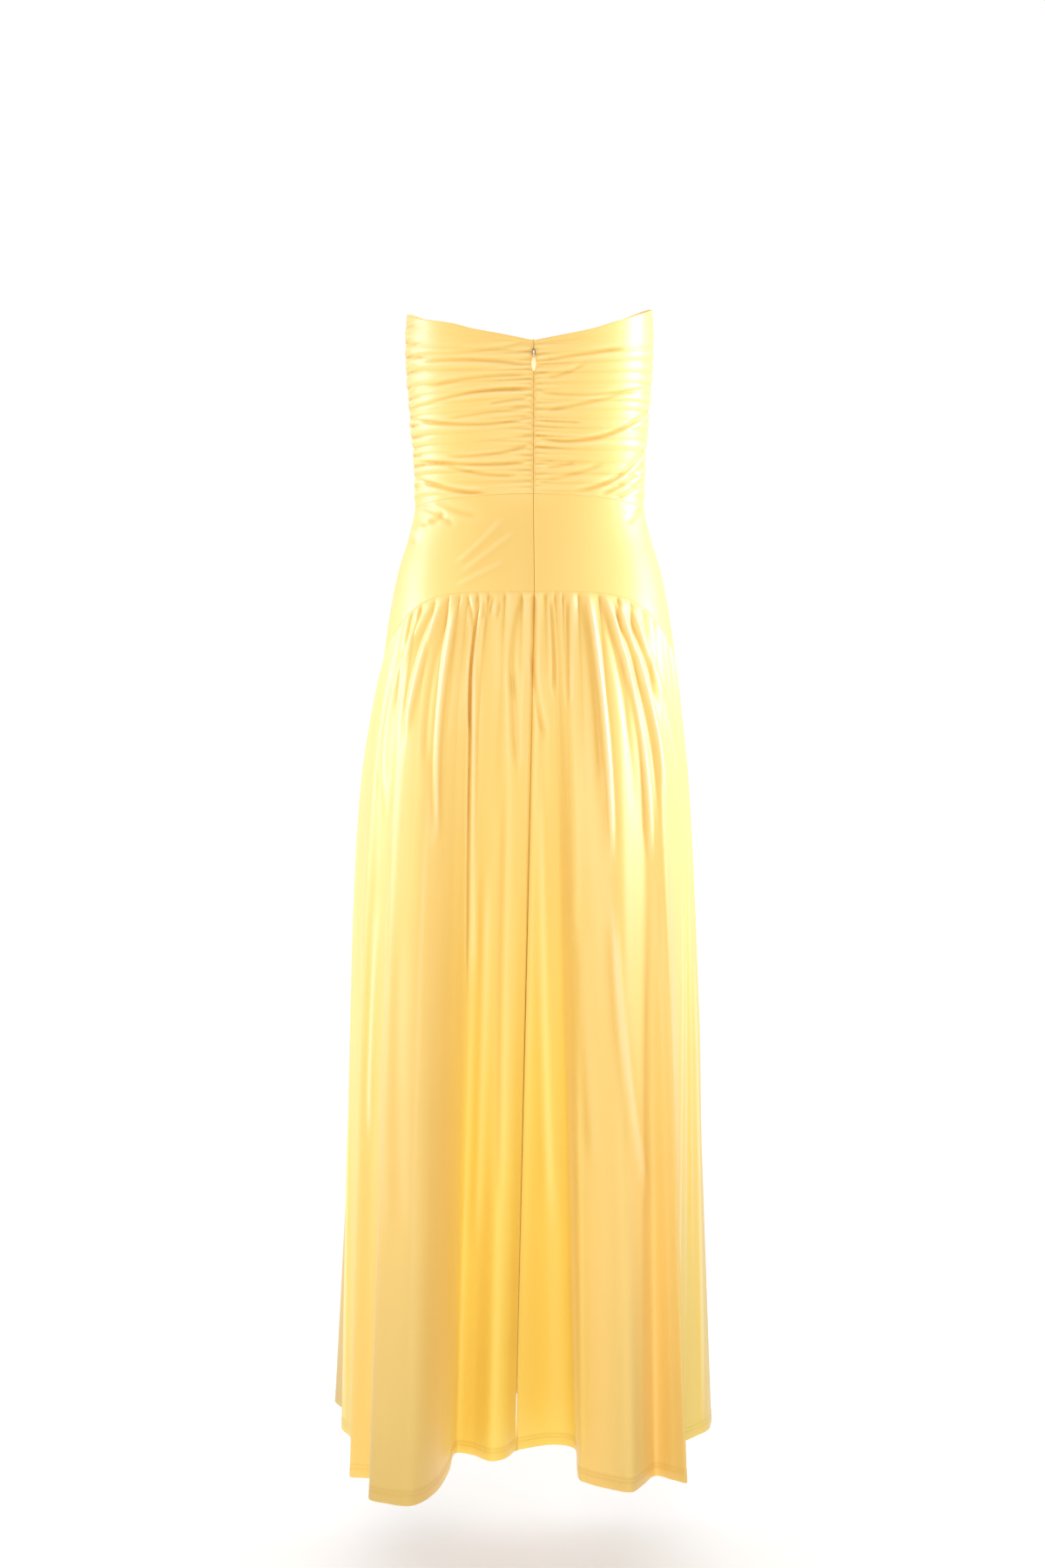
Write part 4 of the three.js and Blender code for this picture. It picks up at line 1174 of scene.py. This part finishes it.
def jersey_material():
    """Jersey: a painted highlight on crests, painted shade in creases and on low flutes, a painted
    glow in deep folds, a little uneven, and finely ribbed.
    """
    material, nodes, skin = new_material("jersey")
    # Painted glow and shade from the fold attribute, painted highlight and shade from the crease
    # attribute.
    fold = attribute_ramp(nodes, "fold", RIDGE_SHADE_COLOUR, CLOTH_COLOUR, DEEP_GLOW_COLOUR)
    crease = attribute_ramp(nodes, "crease", CREST_HIGHLIGHT_TINT, LEVEL_TINT, CREASE_SHADE_TINT)
    both = new_node(nodes, "ShaderNodeVectorMath", operation="MULTIPLY")
    join(fold, "Color", both, 0)
    join(crease, "Color", both, 1)
    tone = new_node(nodes, "ShaderNodeTexNoise", {"Scale": 9, "Detail": 3})
    light = new_node(nodes, "ShaderNodeMapRange", {"To Min": 0.97, "To Max": 1.03})
    place_by(nodes, "Object", tone)
    join(tone, "Fac", light, "Value")
    colour = new_node(nodes, "ShaderNodeVectorMath", operation="SCALE")
    join(both, "Vector", colour, 0)
    join(light, "Result", colour, "Scale")
    join(colour, "Vector", skin, "Base Color")
    rib = new_node(nodes, "ShaderNodeTexWave", {"Scale": 260, "Distortion": 1.5})
    place_by(nodes, "UV", rib)
    add_bump(nodes, skin, rib, 0.12, 0.0002)
    set_inputs(skin, {"Roughness": 0.42, "Specular IOR Level": 0.4, "Sheen Weight": 0.14})
    set_inputs(skin, {"Sheen Roughness": 0.35, "Sheen Tint": (1, 0.96, 0.82, 1)})
    return material


def thread_material():
    material, nodes, skin = new_material("thread")
    twist = new_node(nodes, "ShaderNodeTexWave", {"Scale": 900}, bands_direction="DIAGONAL")
    place_by(nodes, "Object", twist)
    add_bump(nodes, skin, twist, 0.4, 0.0001)
    set_inputs(skin, {"Base Color": THREAD_COLOUR, "Roughness": 0.5})
    return material


def tape_material():
    material, nodes, skin = new_material("zip_tape")
    threads = {"Scale": 420, "Distortion": 0.6}
    weave = new_node(nodes, "ShaderNodeTexWave", threads, bands_direction="Y")
    place_by(nodes, "UV", weave)
    tone = new_node(nodes, "ShaderNodeValToRGB")
    # The near-black painted shadow, darker between the threads.
    tone.color_ramp.elements[0].color = [v * TAPE_SHADE for v in TAPE_SHADOW_COLOUR[:3]] + [1]
    tone.color_ramp.elements[1].color = TAPE_SHADOW_COLOUR
    join(weave, "Fac", tone, "Fac")
    join(tone, "Color", skin, "Base Color")
    add_bump(nodes, skin, weave, 0.5, 0.0002)
    set_inputs(skin, {"Roughness": 0.85, "Specular IOR Level": 0.1})
    return material


def metal_material():
    """Zip metal lacquered to match the cloth, with painted shade in its grooves, and a little worn.
    """
    material, nodes, skin = new_material("zip_metal")
    lacquer = attribute_ramp(nodes, "groove", METAL_COLOUR, METAL_COLOUR, METAL_GROOVE_SHADE)
    wear = new_node(nodes, "ShaderNodeTexNoise", {"Scale": 700})
    place_by(nodes, "Object", wear)
    rough = new_node(nodes, "ShaderNodeMapRange", {"To Min": 0.22, "To Max": 0.42})
    join(wear, "Fac", rough, "Value")
    join(rough, "Result", skin, "Roughness")
    join(lacquer, "Color", skin, "Base Color")
    set_inputs(skin, {"Specular IOR Level": 0.6})
    return material


# ---- Stage ----


def add_camera():
    data = bpy.data.cameras.new("camera")
    data.lens = CAMERA_LENS
    data.sensor_width = CAMERA_SENSOR
    camera = add_object("camera", data)
    camera.location = [v * MM for v in CAMERA_AT]
    camera.rotation_euler = (math.radians(90), 0, 0)
    bpy.context.scene.camera = camera


def add_area(name, at, aim, size, power, spread, colour):
    data = bpy.data.lights.new(name, "AREA")
    data.shape = "RECTANGLE"
    data.size, data.size_y = size
    data.energy = power
    data.color = colour
    data.spread = math.radians(spread)
    light = add_object(name, data)
    light.location = at
    direction = Vector(aim) - Vector(at)
    light.rotation_euler = direction.to_track_quat("-Z", "Y").to_euler()


def add_world():
    """White all round: brighter behind the dress and above it than in front of it."""
    world = bpy.data.worlds.new("studio")
    world.use_nodes = True
    nodes = world.node_tree.nodes
    background = nodes["Background"]
    set_inputs(background, {"Color": (1, 1, 1, 1)})
    split = new_node(nodes, "ShaderNodeSeparateXYZ")
    place_by(nodes, "Generated", split)
    total = new_node(nodes, "ShaderNodeMath")
    for i, (axis, low, high, dim, bright) in enumerate(WORLD_SPREAD):
        limits = {"From Min": low, "From Max": high, "To Min": dim, "To Max": bright}
        spread = new_node(nodes, "ShaderNodeMapRange", limits)
        join(split, axis, spread, "Value")
        join(spread, "Result", total, i)
    path = new_node(nodes, "ShaderNodeLightPath")
    seen = new_node(nodes, "ShaderNodeMath", {1: BACKDROP}, operation="MULTIPLY")
    brighter = new_node(nodes, "ShaderNodeMath", operation="MAXIMUM")
    join(path, "Is Camera Ray", seen, 0)
    join(total, "Value", brighter, 0)
    join(seen, "Value", brighter, 1)
    join(brighter, "Value", background, "Strength")
    bpy.context.scene.world = world


def add_floor():
    material, _, skin = new_material("studio_floor")
    set_inputs(skin, {"Base Color": (0.95, 0.95, 0.95, 1), "Roughness": 0.9})
    set_inputs(skin, {"Emission Color": (1, 1, 1, 1), "Emission Strength": FLOOR_GLOW})
    mesh = bpy.data.meshes.new("floor")
    far, low = FLOOR_HALF, FLOOR_LEVEL
    corners = [(-far, -far, low), (far, -far, low), (far, far, low), (-far, far, low)]
    mesh.from_pydata(corners, [], [(0, 1, 2, 3)])
    mesh.materials.append(material)
    add_object("floor", mesh)


# ---- The dress ----

add_camera()
add_world()
add_floor()
for row in LIGHTS:
    add_area(*row)
bpy.context.scene.view_settings.view_transform = "Standard"

jersey, thread, tape, metal = jersey_material(), thread_material(), tape_material(), metal_material()
right_folds, left_folds = fold_lines(FOLDS_RIGHT, True), fold_lines(FOLDS_LEFT, False)
RIGHT, LEFT = (ZIP_TURN, SIDE_RIGHT), (SIDE_LEFT, FULL_TURN + ZIP_TURN)
FRONT = (SIDE_RIGHT, SIDE_LEFT)
RIGHT_GAPS, LEFT_GAPS, FRONT_GAPS = (ZIP_GAP, SEAM_GAP), (SEAM_GAP, ZIP_GAP), (SEAM_GAP, SEAM_GAP)
# A panel's name and turns, then the columns and rows of its grid, or a skirt panel's gathers
# and the columns for each.
bodice_panel("bodice_back_right", RIGHT, 96, 190, right_folds, RIGHT_GAPS, jersey)
bodice_panel("bodice_back_left", LEFT, 96, 190, left_folds, LEFT_GAPS, jersey)
bodice_panel("bodice_front", FRONT, 140, 170, front_fold_lines, FRONT_GAPS, jersey)
yoke_panel("yoke_back_right", RIGHT, 80, 60, RIGHT_GAPS, jersey)
yoke_panel("yoke_back_left", LEFT, 80, 60, LEFT_GAPS, jersey)
yoke_panel("yoke_front", FRONT, 110, 50, FRONT_GAPS, jersey)
skirt_panel("skirt_back_right", RIGHT, GATHERS_BACK, 24, RIGHT_GAPS, jersey, thread)
skirt_panel("skirt_back_left", LEFT, GATHERS_BACK, 24, LEFT_GAPS, jersey, thread)
skirt_panel("skirt_front", FRONT, GATHERS_FRONT, 18, FRONT_GAPS, jersey, thread)
add_zip_tape(tape)
add_coil(tape)
add_slider(metal)
add_pull(metal)
